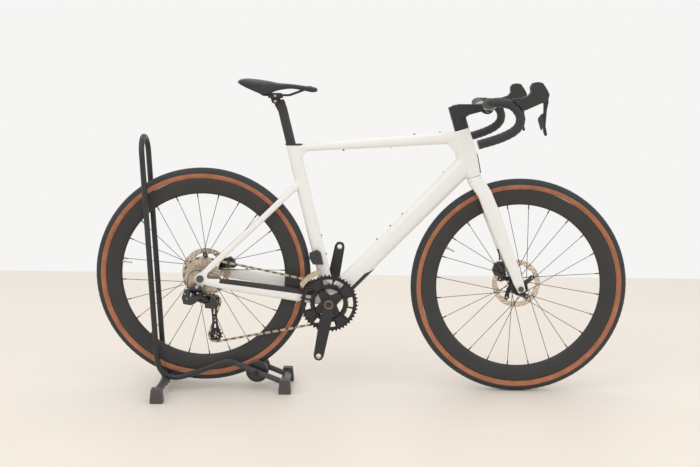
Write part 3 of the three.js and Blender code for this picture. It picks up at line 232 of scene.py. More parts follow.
white_paint = finish("white_paint", srgb(233, 232, 229), 0.32, tint=0.012, swing=0.05,
                     grain=900, depth=0.03, coat=0.4, coat_rough=0.12)
black_paint = finish("black_paint", srgb(38, 38, 39), 0.38, tint=0.2, grain=1400,
                     depth=0.12, wear=0.35)
satin_black = finish("satin_black", srgb(33, 33, 34), 0.36, tint=0.15, grain=1500, depth=0.06)
carbon = finish("matte_carbon", srgb(44, 43, 42), 0.46, tint=0.14, swing=0.06, kind="bands", grain=260,
                depth=0.03, blotch=11)
gloss_black = finish("gloss_black", srgb(22, 23, 25), 0.16, tint=0.2, swing=0.05, grain=300,
                     depth=0.03, coat=0.7, coat_rough=0.06)
anodised = finish("anodised_black", srgb(40, 40, 42), 0.34, metal=0.55, tint=0.12, grain=1800,
                  depth=0.08, wear=0.3)
dark_steel = finish("dark_steel", srgb(58, 56, 55), 0.4, metal=0.8, tint=0.15, grain=1200, depth=0.05)
champagne = finish("champagne_steel", srgb(196, 184, 165), 0.3, metal=0.85, tint=0.12, swing=0.1,
                   grain=900, depth=0.12, blotch=60)
bronze = finish("bronze_ring", srgb(190, 152, 118), 0.3, metal=0.9, tint=0.1, grain=1500, depth=0.06)
silver = finish("brushed_silver", srgb(190, 188, 184), 0.27, metal=0.95, tint=0.06, grain=1600, depth=0.08)
moulded = finish("moulded_plastic", srgb(40, 40, 43), 0.3, tint=0.15, grain=1100, depth=0.1,
                 coat=0.25, coat_rough=0.15)
rubber = finish("soft_rubber", srgb(42, 41, 41), 0.6, tint=0.12, kind="cells", grain=900, depth=0.25,
                sheen=0.1)
foot_rubber = finish("foot_rubber", srgb(74, 70, 68), 0.62, tint=0.12, kind="cells", grain=420, depth=0.35,
                     sheen=0.1, wear=0.25)
tape = finish("bar_tape", srgb(38, 38, 39), 0.52, tint=0.14, kind="cells", grain=520, depth=0.5, sheen=0.15)
tread = finish("tyre_tread", srgb(46, 48, 50), 0.66, tint=0.1, kind="cells", grain=700, depth=0.4, blotch=24)
sidewall = finish("tan_sidewall", srgb(166, 104, 72), 0.64, tint=0.2, kind="bands", grain=620, depth=0.3,
                  sheen=0.1, blotch=34)
skin = finish("saddle_skin", srgb(34, 34, 35), 0.44, tint=0.12, kind="cells", grain=1100, depth=0.22,
              sheen=0.08)


def rotor_steel(name, centre):
    """Steel turned in fine rings about the axle."""
    return finish(name, srgb(206, 190, 168), 0.28, metal=0.85, tint=0.08, kind="rings", grain=900, depth=0.12,
                  centre=centre, blotch=30)


# ---------------------------------------------------------------- shapes

def ring_points(centre, radius, steps, start=0.0):
    return [polar(centre, start + 360 * i / steps, radius) for i in range(steps)]


def arc(centre, radius, start, end, steps):
    return [polar(centre, start + (end - start) * i / steps, radius) for i in range(steps + 1)]


def window(centre, inner, outer, start, end, steps=6):
    """A hole between two radii and two angles."""
    return arc(centre, inner, start, end, steps) + arc(centre, outer, end, start, steps)


def pitch_radius(teeth):
    return LINK_PITCH / 2 / math.sin(math.pi / teeth)


def sprocket_outline(centre, teeth, start=0.0):
    """A chain wheel's edge: round roller seats between narrow teeth."""
    pitch = pitch_radius(teeth)
    rows = ((0, -3.7), (0.14, -3.3), (0.26, -1.9), (0.4, 1.5),
            (0.5, 2.5), (0.6, 1.5), (0.74, -1.9), (0.86, -3.3))
    step = 360 / teeth
    return [polar(centre, start + step * (i + share), pitch + up) for i in range(teeth) for share, up in rows]


def spline(rows, per_span):
    """Catmull-Rom through rows of numbers."""
    rows = [np.array(r, float) for r in rows]
    made = []
    for i in range(len(rows) - 1):
        a, b, c, d = rows[max(0, i - 1)], rows[i], rows[i + 1], rows[min(len(rows) - 1, i + 2)]
        for k in range(per_span):
            t = k / per_span
            made.append(0.5 * (2 * b + (c - a) * t + (2 * a - 5 * b + 4 * c - d) * t**2
                               + (3 * b - a - 3 * c + d) * t**3))
    return made + [rows[-1]]


def rounded(corners, steps=10):
    """A path through (point, bend radius) corners, bent by quadratic curves."""
    points = []
    for i, (corner, radius) in enumerate(corners):
        if not radius:
            points.append(corner)
            continue
        before = corners[i - 1][0] - corner
        after = corners[i + 1][0] - corner
        cut = radius * math.tan((math.pi - before.angle(after)) / 2)
        start, end = corner + before.normalized() * cut, corner + after.normalized() * cut
        for k in range(steps + 1):
            t = k / steps
            points.append(start * (1 - t) ** 2 + corner * 2 * t * (1 - t) + end * t**2)
    return points


class Shape:
    """Gathers closed surfaces into one mesh; each surface has the number of its finish."""

    def __init__(self):
        self.points, self.faces, self.finishes = [], [], []

    def add(self, points, faces, finish=0):
        first = len(self.points)
        self.points += [Vector(p) for p in points]
        self.faces += [[first + i for i in f] for f in faces]
        self.finishes += finish if isinstance(finish, list) else [finish] * len(faces)

    def sweep(self, rings, closed=False, finish=0):
        """Joins rings of points into a skin, with flat ends unless it is closed."""
        count, width = len(rings), len(rings[0])
        faces = []
        for i in range(count if closed else count - 1):
            j = (i + 1) % count
            faces += [(i * width + k, i * width + (k + 1) % width, j * width + (k + 1) % width, j * width + k)
                      for k in range(width)]
        if not closed:
            faces += [tuple(range(width)), tuple(range((count - 1) * width, count * width))]
        self.add([p for ring in rings for p in ring], faces, finish)

    def lathe(self, profile, centre, steps=72, finish=0):
        """Turns a closed profile of (radius, y) about the Y line through centre."""
        rings = [[polar(centre, 360 * i / steps, r, centre.y + y) for r, y in profile] for i in range(steps)]
        if isinstance(finish, list):
            finish = finish * steps
        self.sweep(rings, True, finish)

    def tube(self, points, radius, sides=16, closed=False, finish=0, across=None):
        """A round or oval tube; radius is one size, or one size or pair for each point."""
        points = [Vector(p) for p in points]
        count = len(points)
        rings = []
        u = Vector(across) if across else None
        for i, p in enumerate(points):
            if closed:
                along = points[(i + 1) % count] - points[i - 1]
            else:
                along = points[min(count - 1, i + 1)] - points[max(0, i - 1)]
            along.normalize()
            u = u or along.orthogonal()
            u = (u - along * u.dot(along)).normalized()
            v = along.cross(u)
            size = radius[i] if isinstance(radius, (list, tuple)) else radius
            a, b = size if isinstance(size, (list, tuple)) else (size, size)
            turns = [2 * math.pi * k / sides for k in range(sides)]
            rings.append([p + u * a * math.cos(t) + v * b * math.sin(t) for t in turns])
        self.sweep(rings, closed, finish)

    def plate(self, outline, y0, y1, holes=(), finish=0):
        """A flat piece between two planes across Y, with holes."""
        loops = [list(outline), *[list(h) for h in holes]]
        flat = [[Vector((p[0], p[-1], 0)) for p in loop] for loop in loops]
        points = [p for loop in flat for p in loop]
        count = len(points)
        triangles = tessellate_polygon(flat)
        faces = [tuple(t) for t in triangles] + [tuple(i + count for i in reversed(t)) for t in triangles]
        first = 0
        for loop in flat:
            size = len(loop)
            faces += [(first + i, first + (i + 1) % size, first + (i + 1) % size + count, first + i + count)
                      for i in range(size)]
            first += size
        self.add([(p.x, y, p.y) for y in (y0, y1) for p in points], faces, finish)

    def build(self, name, finishes, angle=38, bevel=0):
        """The Blender object, with its faces turned out and its sharp edges kept."""
        mesh = bpy.data.meshes.new(name)
        mesh.from_pydata([p * MM for p in self.points], [], self.faces)
        finishes = finishes if isinstance(finishes, (list, tuple)) else [finishes]
        for one in finishes:
            mesh.materials.append(one)
        mesh.polygons.foreach_set("material_index", self.finishes)
        solid = bmesh.new()
        solid.from_mesh(mesh)
        bmesh.ops.recalc_face_normals(solid, faces=solid.faces)
        solid.to_mesh(mesh)
        solid.free()
        piece = bpy.data.objects.new(name, mesh)
        bpy.context.scene.collection.objects.link(piece)
        if bevel:
            modifier = piece.modifiers.new("bevel", "BEVEL")
            modifier.width = bevel * MM
            modifier.segments = 2
            modifier.limit_method = "ANGLE"
            modifier.angle_limit = math.radians(50)
            modifier.use_clamp_overlap = True
            apply_modifiers(piece)
        piece.data.shade_smooth()
        piece.data.set_sharp_from_angle(angle=math.radians(angle))
        return piece


def apply_modifiers(piece):
    bpy.context.view_layer.update()
    shown = piece.evaluated_get(bpy.context.evaluated_depsgraph_get())
    mesh = bpy.data.meshes.new_from_object(shown)
    piece.modifiers.clear()
    piece.data = mesh


def relax(mesh, passes):
    """Rounds a mesh off without shrinking it: each pass moves in, then out."""
    count = len(mesh.vertices)
    co = np.zeros(count * 3)
    mesh.vertices.foreach_get("co", co)
    co = co.reshape(-1, 3)
    edges = np.zeros(len(mesh.edges) * 2, np.int32)
    mesh.edges.foreach_get("vertices", edges)
    a, b = edges.reshape(-1, 2).T
    degree = np.maximum(np.bincount(edges, minlength=count), 1)
    for share in [0.5, -0.51] * passes:
        total = np.stack([
            np.bincount(a, co[b, axis], count) + np.bincount(b, co[a, axis], count) for axis in range(3)
        ], 1)
        co = co + share * (total / degree[:, None] - co)
    mesh.vertices.foreach_set("co", co.astype(np.float32).ravel())
    mesh.update()


def place(piece, body, slot, *nodes):
    """Puts a piece on its body and hides the CAD nodes that it stands for; the slot argument is not used."""
    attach(piece, body)
    if nodes:
        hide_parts(*nodes)
    return piece


def body_of(node):
    return frame["nodes"][node]["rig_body"]


def soften(node, made_of, slot, voxel=1.5, passes=8, name=None):
    """A rounded skin over one CAD node, which it stands for."""
    mesh = frame["nodes"][node].data.copy()
    piece = bpy.data.objects.new(name or node + "_skin", mesh)
    bpy.context.scene.collection.objects.link(piece)
    remesh = piece.modifiers.new("remesh", "REMESH")
    remesh.mode = "VOXEL"
    remesh.voxel_size = voxel * MM
    apply_modifiers(piece)
    relax(piece.data, passes)
    piece.data.materials.clear()
    piece.data.materials.append(made_of)
    piece.data.shade_smooth()
    return place(piece, body_of(node), slot, node)


def bolt(shape, point, direction, radius, height, finish=0, socket=True):
    """A domed screw head with a six-sided socket, standing on point."""
    direction = Vector(direction).normalized()
    rows = [(radius, -1.5), (radius, 0.55 * height), (radius * 0.9, 0.85 * height), (radius * 0.7, height)]
    if socket:
        rows += [(radius * 0.5, height), (radius * 0.47, 0.35 * height)]
    u = direction.orthogonal().normalized()
    v = direction.cross(u)
    sides = 18
    rings = []
    for r, h in rows:
        rings.append([
            point + direction * h + (u * math.cos(t) + v * math.sin(t)) * r
            for t in (2 * math.pi * k / sides for k in range(sides))
        ])
    shape.sweep(rings, finish=finish)


# ---------------------------------------------------------------- camera, floor and light

def camera():
    yaw, pitch, roll = -0.0090889, 0.1388038, 0.0104720
    forward = Vector((math.sin(yaw) * math.cos(pitch), math.cos(yaw) * math.cos(pitch), -math.sin(pitch)))
    right = Vector((math.cos(yaw), -math.sin(yaw), 0))
    up = right.cross(forward)
    turned = right * math.cos(roll) + up * math.sin(roll)
    upright = up * math.cos(roll) - right * math.sin(roll)
    data = bpy.data.cameras.new("camera")
    data.lens = 51.858
    data.sensor_width = 36
    data.clip_start, data.clip_end = 0.05, 60
    eye = bpy.data.objects.new("camera", data)
    bpy.context.scene.collection.objects.link(eye)
    turn = Matrix((turned, upright, -forward)).transposed().to_4x4()
    eye.matrix_world = Matrix.Translation((-0.0069, -3.25742, 0.97322)) @ turn
    bpy.context.scene.camera = eye
    bpy.context.scene.view_settings.view_transform = "Standard"


def studio():
    floor_paint = finish("pale_floor", srgb(235, 227, 216), 0.5, tint=0.02, grain=30, depth=0.02, blotch=1.5)
    mesh = bpy.data.meshes.new("floor")
    mesh.from_pydata([(-5, -5, 0), (5, -5, 0), (5, 2.1, 0), (-5, 2.1, 0)], [], [(0, 1, 2, 3)])
    mesh.materials.append(floor_paint)
    floor = bpy.data.objects.new("floor", mesh)
    bpy.context.scene.collection.objects.link(floor)
    world = bpy.data.worlds.new("studio")
    bpy.context.scene.world = world
    world.use_nodes = True
    back = world.node_tree.nodes["Background"]
    back.inputs["Color"].default_value = srgb(246, 245, 244)
    back.inputs["Strength"].default_value = 1.0
    for name, place_at, size, power, colour in (
        ("key", (-1.6, -2.4, 3.2), 2.6, 24, (1, 0.985, 0.965)),
        ("fill", (2.6, -1.8, 2.2), 2.4, 11, (0.97, 0.985, 1)),
        ("top", (0, 0.4, 3.4), 3.0, 13, (1, 1, 1)),
    ):
        light = bpy.data.lights.new(name, "AREA")
        light.shape = "DISK"
        light.size = size
        light.energy = power
        light.color = colour
        lamp = bpy.data.objects.new(name, light)
        bpy.context.scene.collection.objects.link(lamp)
        lamp.location = place_at
        lamp.rotation_euler = (Vector((0, 0, 0.5)) - lamp.location).to_track_quat("-Z", "Y").to_euler()


# ---------------------------------------------------------------- wheels

def tyre(name, centre, body):
    shape = Shape()
    half = [0, 7, 14, 21, 28, 35, 42, 49, 56, 63, 70, 78, 86, 92, 96, 104, 112, 121, 128]
    casing = lambda a: TYRE_HALF if abs(a) < 80 else TYRE_HALF - 0.7
    around = [-a for a in reversed(half[1:])] + half
    middle_radius = TYRE_RADIUS - TYRE_HALF
    profile = [(middle_radius + casing(a) * math.cos(math.radians(a)), casing(a) * math.sin(math.radians(a)))
               for a in around]
    colours = [0 if abs(a + b) / 2 < 87 else 1 for a, b in zip(around, around[1:])]
    profile += [(318, 13.6), (318, -13.6)]
    shape.lathe(profile, centre, 160, colours + [1, 1, 1])
    blocks = 104
    for row, lean in ((24, 0.5), (41, -0.35), (57, 0.5), (72, -0.2)):
        for side in (-1, 1):
            for k in range(blocks):
                turn = (k + (0.5 if (row in (41, 72)) == (side > 0) else 0)) * 360 / blocks
                corners = ((-0.85, -5.5), (0.55, -4.5), (0.85, 5.5), (-0.55, 4.5))
                rings = []
                for rise, share in ((-0.3, 1), (0.75, 0.78)):
                    ring = []
                    for along, up in corners:
                        a = math.radians(row + up * share)
                        r = middle_radius + (TYRE_HALF + rise - (0.45 if row < 60 else 0)) * math.cos(a)
                        y = side * (TYRE_HALF + rise - 0.45) * math.sin(a)
                        spin = turn + (along * share + lean * up / 9) * 0.9
                        ring.append(polar(centre, spin, r, y))
                    rings.append(ring)
                shape.sweep(rings)
    place(shape.build(name + "_casing", [tread, sidewall], 30), body, "tyre", name)


def rim(name, centre, body, valve_angle):
    shape = Shape()
    half = [(RIM_INNER, 1.6), (268, 4), (270.6, 6.4), (275, 8.4), (281, 10.2), (290, 12.2), (298.1, 13.5),
            (307, 14.5), (314, 15), (316.4, 14.9), (317.2, 14)]
    shape.lathe(half + [(r, -y) for r, y in reversed(half)], centre, 160)
    place(shape.build(name + "_shell", carbon, 50), body, "carbon", name)
    stem = Shape()
    path = [polar(centre, valve_angle, r) for r in (270, 262, 261.5, 247, 246.5, 241, 239, 237.5)]
    stem.tube(path, [4.6, 4.6, 3, 3, 2.3, 2.3, 3.1, 1.6], 16)
    place(stem.build(name + "_valve", silver), body, "steel")


def hub(name, centre, body, profile, flanges, turn):
    shape = Shape()
    shape.lathe(profile, centre, 64)
    for flange in flanges:
        for k in range(SPOKES_PER_SIDE * 2):
            hole = polar(centre, 360 * k / (SPOKES_PER_SIDE * 2), 24.4, flange)
            shape.tube([hole + Vector((0, -2.4, 0)), hole + Vector((0, 2.4, 0))], 1.9, 8, finish=1)
    place(shape.build(name + "_shell", [anodised, dark_steel]), body, "black_alloy", name)
    spokes = Shape()
    for side, flange in enumerate(flanges):
        step = 360 / SPOKES_PER_SIDE
        for k in range(SPOKES_PER_SIDE):
            hole = turn + step * k + side * step / 2
            lead = SPOKE_LEAD if k % 2 else -SPOKE_LEAD
            inner = polar(centre, hole, 24.5, flange)
            outer = polar(centre, hole + lead, RIM_INNER + 2, 0)
            way = outer - inner
            share = [0, 0.1, 0.13, 0.94, 0.945, 0.985, 0.99, 1]
            size = [1.15, 1.15, 0.95, 0.95, 1.9, 1.9, 2.4, 2.4]
            spokes.tube([inner + way * t for t in share], size, 8)
    place(spokes.build(name + "_spokes", dark_steel), body, "black_steel")


def rotor(name, centre, y, body):
    """Perforated steel ring on a five-armed alloy carrier, with its lockring."""
    here = Vector((centre.x, y, centre.z))
    ring = Shape()
    scallop = lambda i: 0.9 * abs(math.sin(math.radians(9 * i)))
    outline = [polar(here, 1.5 * i, ROTOR_RADIUS - scallop(i)) for i in range(240)]
    inner = [polar(here, 3 * i, 61.5 + 1.8 * math.cos(math.radians(30 * i))) for i in range(120)]
    holes = [inner]
    for row, (radius, size) in enumerate(((75.7, 1.9), (71, 2.1), (66.4, 1.9))):
        for k in range(24):
            spot = polar(here, 15 * k + 5 * row, radius)
            holes.append(ring_points(spot, size, 10))
    ring.plate(outline, y - 0.9, y + 0.9, holes)
    for k in range(5):
        tab = 72 * k + 22
        ring.plate(window(here, 52, 64, tab - 6, tab + 6, 4), y - 0.9, y + 0.9)
    steel = rotor_steel(name + "_steel", here)
    place(ring.build(name + "_ring", steel), body, "steel", name)
    carrier = Shape()
    for k in range(5):
        a = 72 * k
        arm = [polar(here, a + turn, radius) for turn, radius in (
            (-20, 21), (-8, 34), (8, 48), (14, 58.5), (27, 60.5), (31, 54), (22, 40), (16, 22))]
        carrier.plate(arm, y - 2.1, y + 2.1)
        bolt(carrier, polar(here, a + 22, 55.5, y + 2.1), (0, 1, 0), 3.2, 1, 1, False)
        bolt(carrier, polar(here, a + 22, 55.5, y - 2.1), (0, -1, 0), 3.2, 1, 1, False)
    carrier.lathe([(16.2, -2.4), (25, -2.4), (26, -1.6), (26, 1.6), (25, 2.4), (16.2, 2.4)], here, 48)
    notches = [polar(here, 360 * i / 80, 22 if i % 4 < 2 else 20.4) for i in range(80)]
    carrier.plate(notches, y + 2.4, y + 4.6, [ring_points(here, 12, 40)])
    place(carrier.build(name + "_carrier", [anodised, silver], bevel=0.35), body, "black_alloy")


def wheels():
    tyre("rear_tyre", rear_axle, "rear_wheel")
    rim("rear_rim", rear_axle, "rear_wheel", 171)
    rear_low, rear_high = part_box("rear_rotor")
    rear_y = (rear_low.y + rear_high.y) / 2 / MM
    flange = lambda y, neck: [(neck, y - 5), (neck + 3, y - 3), (25, y - 1.9), (27, y - 1.2), (27, y + 1.2),
                              (25, y + 1.9), (neck + 3, y + 3), (neck, y + 5)]
    rear = [(6.4, -70.7), (9, -70.7), (9, -30), (10.5, -27), *flange(-20, 12), (12, -10), (11, 5), (12, 25),
            *flange(35, 13), (16, 42), (16, 58.7), (12, 59.7), (9, 60.5), (9, 70.7), (6.4, 70.7)]
    hub("rear_hub", rear_axle, "rear_wheel", rear, (-20, 35), REAR_WHEEL_TURN)
    rotor("rear_rotor", rear_axle, rear_y, "rear_wheel")
    tyre("front_tyre", front_axle, "front_wheel")
    rim("front_rim", front_axle, "front_wheel", 152.4)
    front_low, front_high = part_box("front_rotor")
    front_y = (front_low.y + front_high.y) / 2 / MM
    front = [(6.4, -49.7), (9, -49.7), (9, -40), (10.5, -37), *flange(-31.5, 11.5), (11.5, -20), (10.5, -4),
             (11.5, 14), *flange(22, 12.5), (16, 28), (16, 42.5), (12, 43.5), (9, 44), (9, 49.7), (6.4, 49.7)]
    hub("front_hub", front_axle, "front_wheel", front, (-31.5, 22), FRONT_WHEEL_TURN)
    rotor("front_rotor", front_axle, front_y, "front_wheel")


# ---------------------------------------------------------------- drivetrain

def cassette():
    here = rear_axle
    shape = Shape()
    small_y = -66.5
    for i, teeth in enumerate(COGS):
        y = big_cog_y + (small_y - big_cog_y) * i / (len(COGS) - 1)
        pitch = pitch_radius(teeth)
        holes = [ring_points(here, 17.2 if teeth > 14 else 10.5, 40)]
        if pitch > 38:
            count = 8
            for k in range(count):
                a = 360 / count * k + 7 * i
                holes.append(window(here, pitch - 16, pitch - 8.5, a, a + 27, 5))
        shape.plate(sprocket_outline(here, teeth, 5 * i), y - 0.95, y + 0.95, holes)
    place(shape.build("cassette_cogs", champagne), "cassette_body", "steel", "cassette")
    core = Shape()
    core.lathe([(9.6, -24), (17.6, -24), (17.6, -56), (11.5, -57), (11.5, -66), (9.6, -66)], here, 48)
    for i in range(len(COGS) - 1):
        y = big_cog_y + (small_y - big_cog_y) * (i + 0.5) / (len(COGS) - 1)
        radius = max(14, pitch_radius(COGS[i + 1]) - 6)
        if radius > 19:
            for k in range(6):
                arm = window(here, 17, radius, 60 * k + 4 * i, 60 * k + 4 * i + 16, 3)
                core.plate(arm, y - 0.85, y + 0.85)
    place(core.build("cassette_carrier", anodised), "cassette_body", "black_alloy")
    lock = Shape()
    edge = [polar(here, 360 * k / 48, 16 if k % 4 < 2 else 14.8) for k in range(48)]
    lock.plate(edge, -67.6, -69.4, [ring_points(here, 9.8, 32)])
    place(lock.build("cassette_lockring", silver, bevel=0.3), "cassette_body", "steel")


def chain_path():
    """The chain's pitch line round (centre, teeth, sense, y) wheels, as close points."""
    wheels_on_it = (
        (rear_axle, COGS[0], 1, big_cog_y),
        (bracket, SMALL_RING_TEETH, 1, small_ring.y),
        (tension, PULLEY_TEETH, 1, big_cog_y),
        (guide, PULLEY_TEETH, -1, big_cog_y),
    )
    count = len(wheels_on_it)
    runs = []
    for i, (a, teeth_a, sense_a, _) in enumerate(wheels_on_it):
        b, teeth_b, sense_b, _ = wheels_on_it[(i + 1) % count]
        dx, dz = b.x - a.x, b.z - a.z
        reach = sense_a * pitch_radius(teeth_a) - sense_b * pitch_radius(teeth_b)
        runs.append(math.atan2(dz, dx) - math.asin(reach / math.hypot(dx, dz)))
    points = []
    for i, (centre, teeth, sense, y) in enumerate(wheels_on_it):
        enter = runs[i - 1] + sense * math.pi / 2
        leave = runs[i] + sense * math.pi / 2
        while sense > 0 and leave > enter:
            leave -= 2 * math.pi
        while sense < 0 and leave < enter:
            leave += 2 * math.pi
        if abs(leave - enter) > 2 * math.pi:
            leave += sense * 2 * math.pi
        steps = max(3, math.ceil(abs(leave - enter) / math.radians(4)))
        for k in range(steps + 1):
            a = enter + (leave - enter) * k / steps
            points.append(polar(centre, math.degrees(a), pitch_radius(teeth), y))
    return points


def chain():
    points = chain_path()
    points.append(points[0])
    lengths = [0.0]
    for a, b in zip(points, points[1:]):
        lengths.append(lengths[-1] + (b - a).length)
    count = 2 * round(lengths[-1] / LINK_PITCH / 2)
    pins = []
    at = 0
    for k in range(count):
        s = lengths[-1] * k / count
        while lengths[at + 1] < s:
            at += 1
        t = (s - lengths[at]) / (lengths[at + 1] - lengths[at])
        pins.append(points[at].lerp(points[at + 1], t))
    shape = Shape()
    across = Vector((0, 1, 0))
    for k, pin in enumerate(pins):
        after = pins[(k + 1) % count]
        along = (after - pin).normalized()
        up = along.cross(across).normalized()
        outer = k % 2 == 0
        near, far = (2.15, 2.95) if outer else (1.2, 2.05)
        pitch = (after - pin).length
        outline = []
        for centre, turn in ((pin, 90), (after, -90)):
            for a in range(0, 181, 36):
                t = math.radians(turn + a)
                outline.append(centre + (along * math.cos(t) + up * math.sin(t)) * 3.9)
        waist = pin + along * pitch / 2
        outline.insert(6, waist - up * 2.7)
        outline.append(waist + up * 2.7)
        for sign in (-1, 1):
            faces = [[p + across * sign * y for p in outline] for y in (near, far)]
            shape.sweep(faces, finish=0 if outer else 1)
        ends = [pin + across * y for y in (-3.3, 3.3)]
        shape.tube(ends, 1.8, 10, finish=1)
        shape.tube([pin + across * y for y in (-1.15, 1.15)], 3.6, 12, finish=0)
    place(shape.build("chain_links", [champagne, dark_steel]), "bike", "steel", "chain")


def chainrings():
    large = Shape()
    y = large_ring.y
    quarter = CRANK_ANGLE + 90
    windows = []
    for k in range(4):
        a = quarter + 90 * k
        windows += [window(bracket, 60.5, 78.5, a + start, a + start + 24.8, 6) for start in (-27, 2.2)]
    outline = sprocket_outline(bracket, LARGE_RING_TEETH)
    large.plate(outline, y - 1.3, y + 1.3, [ring_points(bracket, 50.6, 64), *windows])
    plate = large.build("chainring_large_plate", anodised, bevel=0.25)
    place(plate, "crankset", "black_alloy", "chainring_large")
    covers = Shape()
    for k in range(4):
        a = quarter + 45 + 90 * k
        arm = [*arc(bracket, 83.5, a - 15, a + 15, 6), *arc(bracket, 52, a + 9, a - 9, 4)]
        covers.plate(arm, y - 1.3, y - 4.6)
        bolt(covers, polar(bracket, a, 60, y + 1.3), (0, 1, 0), 4.6, 2.2, 1)
    place(covers.build("chainring_arm_covers", [satin_black, anodised], bevel=1.2), "crankset", "black_alloy")
    small = Shape()
    sy = small_ring.y
    outline = sprocket_outline(bracket, SMALL_RING_TEETH)
    small.plate(outline, sy - 1.2, sy + 1.2, [ring_points(bracket, 46.2, 56)])
    plate = small.build("chainring_small_plate", anodised, bevel=0.2)
    place(plate, "crankset", "black_alloy", "chainring_small")


def cranks():
    soften("crank_arm_right", satin_black, "black_alloy", 1.5, 5, "crank_arm_right_body")
    soften("crank_arm_left", satin_black, "black_alloy", 1.5, 5, "crank_arm_left_body")
    face = bracket + Vector((0, -73.5, 0))
    cap = Shape()
    cap.lathe([(11.4, 0), (13.6, 0), (13.6, -3), (13.1, -3.6), (11.9, -3.6), (11.4, -3)], face, 56, 1)
    cap.lathe([(3.2, 0), (10.2, 0), (10.2, -2.2), (8.6, -2.6), (6.6, -1), (3.4, -1)], face, 40, 0)
    for k in range(8):
        cap.tube([polar(face, 45 * k, 7.8, face.y - 0.6), polar(face, 45 * k, 7.8, face.y - 2.4)], 0.9, 8)
    place(cap.build("crank_bolt", [gloss_black, bronze]), "crankset", "bronze_alloy")
    inserts = Shape()
    for side, angle in ((-1, CRANK_ANGLE), (1, CRANK_ANGLE + 180)):
        eye = polar(bracket, angle, CRANK_LENGTH, side * 67.75)
        threads = [(6.9 if i % 2 else 6.5, 6 - 2 * i) for i in range(7)]
        inserts.lathe([(6.9, -7.9), (8.8, -7.9), (8.8, 7.9), (6.9, 7.9), *threads], eye, 36)
    place(inserts.build("pedal_eye_inserts", silver), "crankset", "steel")


def pulley(name, centre, body):
    shape = Shape()
    holes = [window(centre, 7.5, 14.5, 60 * k, 60 * k + 38, 4) for k in range(6)]
    shape.plate(sprocket_outline(centre, PULLEY_TEETH), centre.y - 1.1, centre.y + 1.1,
                [ring_points(centre, 4.4, 24), *holes])
    shape.lathe([(3.5, -2.2), (6.6, -2.2), (6.6, 2.2), (3.5, 2.2)], centre, 32)
    place(shape.build(name + "_wheel", moulded, bevel=0.25), body, "plastic", name)


def derailleurs():
    for node, voxel, passes in (("derailleur_mount_knuckle", 1.2, 7), ("derailleur_cage_knuckle", 1.1, 6),
                                ("front_derailleur_body", 1.1, 8)):
        soften(node, moulded, "plastic", voxel, passes)
    for node in ("derailleur_link_outer", "derailleur_link_inner"):
        soften(node, gloss_black, "plastic", 0.9, 5)
    soften("front_derailleur_cage", champagne, "steel", 0.6, 1)
    way = tension - guide
    lean = math.degrees(math.atan2(way.z, way.x))
    for node, y, top in (("derailleur_cage_outer", -1, 13), ("derailleur_cage_inner", 1, 11)):
        y_near = big_cog_y + y * CAGE_HALF_GAP
        side = []
        for share, half in ((0.16, 9.5), (0.3, 8.2), (0.5, 7.4), (0.7, 9), (0.84, 13)):
            side.append((guide + way * share, half))
        outline = arc(guide, top, lean + 90, lean + 270, 14)
        outline += [polar(p, lean - 90, half) for p, half in side]
        outline += arc(tension, 15, lean - 90, lean + 90, 14)
        outline += [polar(p, lean + 90, half) for p, half in reversed(side)]
        turns = [lean + 180 + 72 * k for k in range(5)]
        holes = [window(tension, 5.6, 11.6, turn - 24, turn + 24, 5) for turn in turns]
        for start, end in ((0.2, 0.38), (0.43, 0.6), (0.65, 0.8)):
            p, q = guide + way * start, guide + way * end
            holes.append([polar(p, lean + 90, 3.4), polar(p, lean - 90, 3.4), polar(q, lean - 90, 3.8),
                          polar(q, lean + 90, 3.8)])
        shape = Shape()
        shape.plate(outline, y_near, y_near + y * 2.2, holes)
        if y < 0:
            for centre in (guide, tension):
                bolt(shape, Vector((centre.x, y_near - 2.2, centre.z)), (0, -1, 0), 4.2, 1.2, 1)
                ends = [Vector((centre.x, s, centre.z)) for s in (y_near, big_cog_y + 4.6)]
                shape.tube(ends, 3, 14, finish=1)
        place(shape.build(node + "_plate", [anodised, silver], bevel=0.5), "rd_cage", "black_alloy", node)
    pulley("guide_pulley", guide, body_of("guide_pulley"))
    pulley("tension_pulley", tension, body_of("tension_pulley"))
    screws = Shape()
    low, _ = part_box("derailleur_mount_knuckle")
    face = low.y / MM
    for x, z, size in ((-8, -24, 5), (-6, -44, 3), (-40, -62, 2.4), (-46, -46, 2.4)):
        bolt(screws, Vector((rear_axle.x + x, face, rear_axle.z + z)), (0, -1, 0), size, 1.4)
    place(screws.build("derailleur_mount_screws", silver), "bike", "steel")


# ---------------------------------------------------------------- frame

def section_point(centre, along, deep, wide, angle, power=2.5):
    """A point on a tube's superelliptical section; 0 is its upper side, 90 its right side."""
    u = Vector((0, -1, 0)).cross(along).normalized()
    v = Vector((0, -1, 0))
    bend = lambda c: math.copysign(abs(c) ** (2 / power), c)
    t = math.radians(angle)
    return centre + u * deep * bend(math.cos(t)) + v * wide * bend(math.sin(t))


def guard(name, stations, body, made_of=rubber, slot="rubber"):
    """A thin skin laid on a tube; stations are centre, depth, width, first and last angle."""
    shape = Shape()
    rings = []
    steps = 12
    count = len(stations)
    for i, (centre, deep, wide, first, last) in enumerate(stations):
        along = stations[min(count - 1, i + 1)][0] - stations[max(0, i - 1)][0]
        along.y = 0
        along.normalize()
        ring = []
        for lift, order in ((1.1, range(steps + 1)), (-1.5, range(steps, -1, -1))):
            for k in order:
                angle = first + (last - first) * k / steps
                fade = lift if lift < 0 or (0 < i < count - 1 and 0 < k < steps) else 0.3
                ring.append(section_point(centre, along, deep + fade, wide + fade, angle))
        rings.append(ring)
    shape.sweep(rings)
    place(shape.build(name, made_of, 50), body, slot)


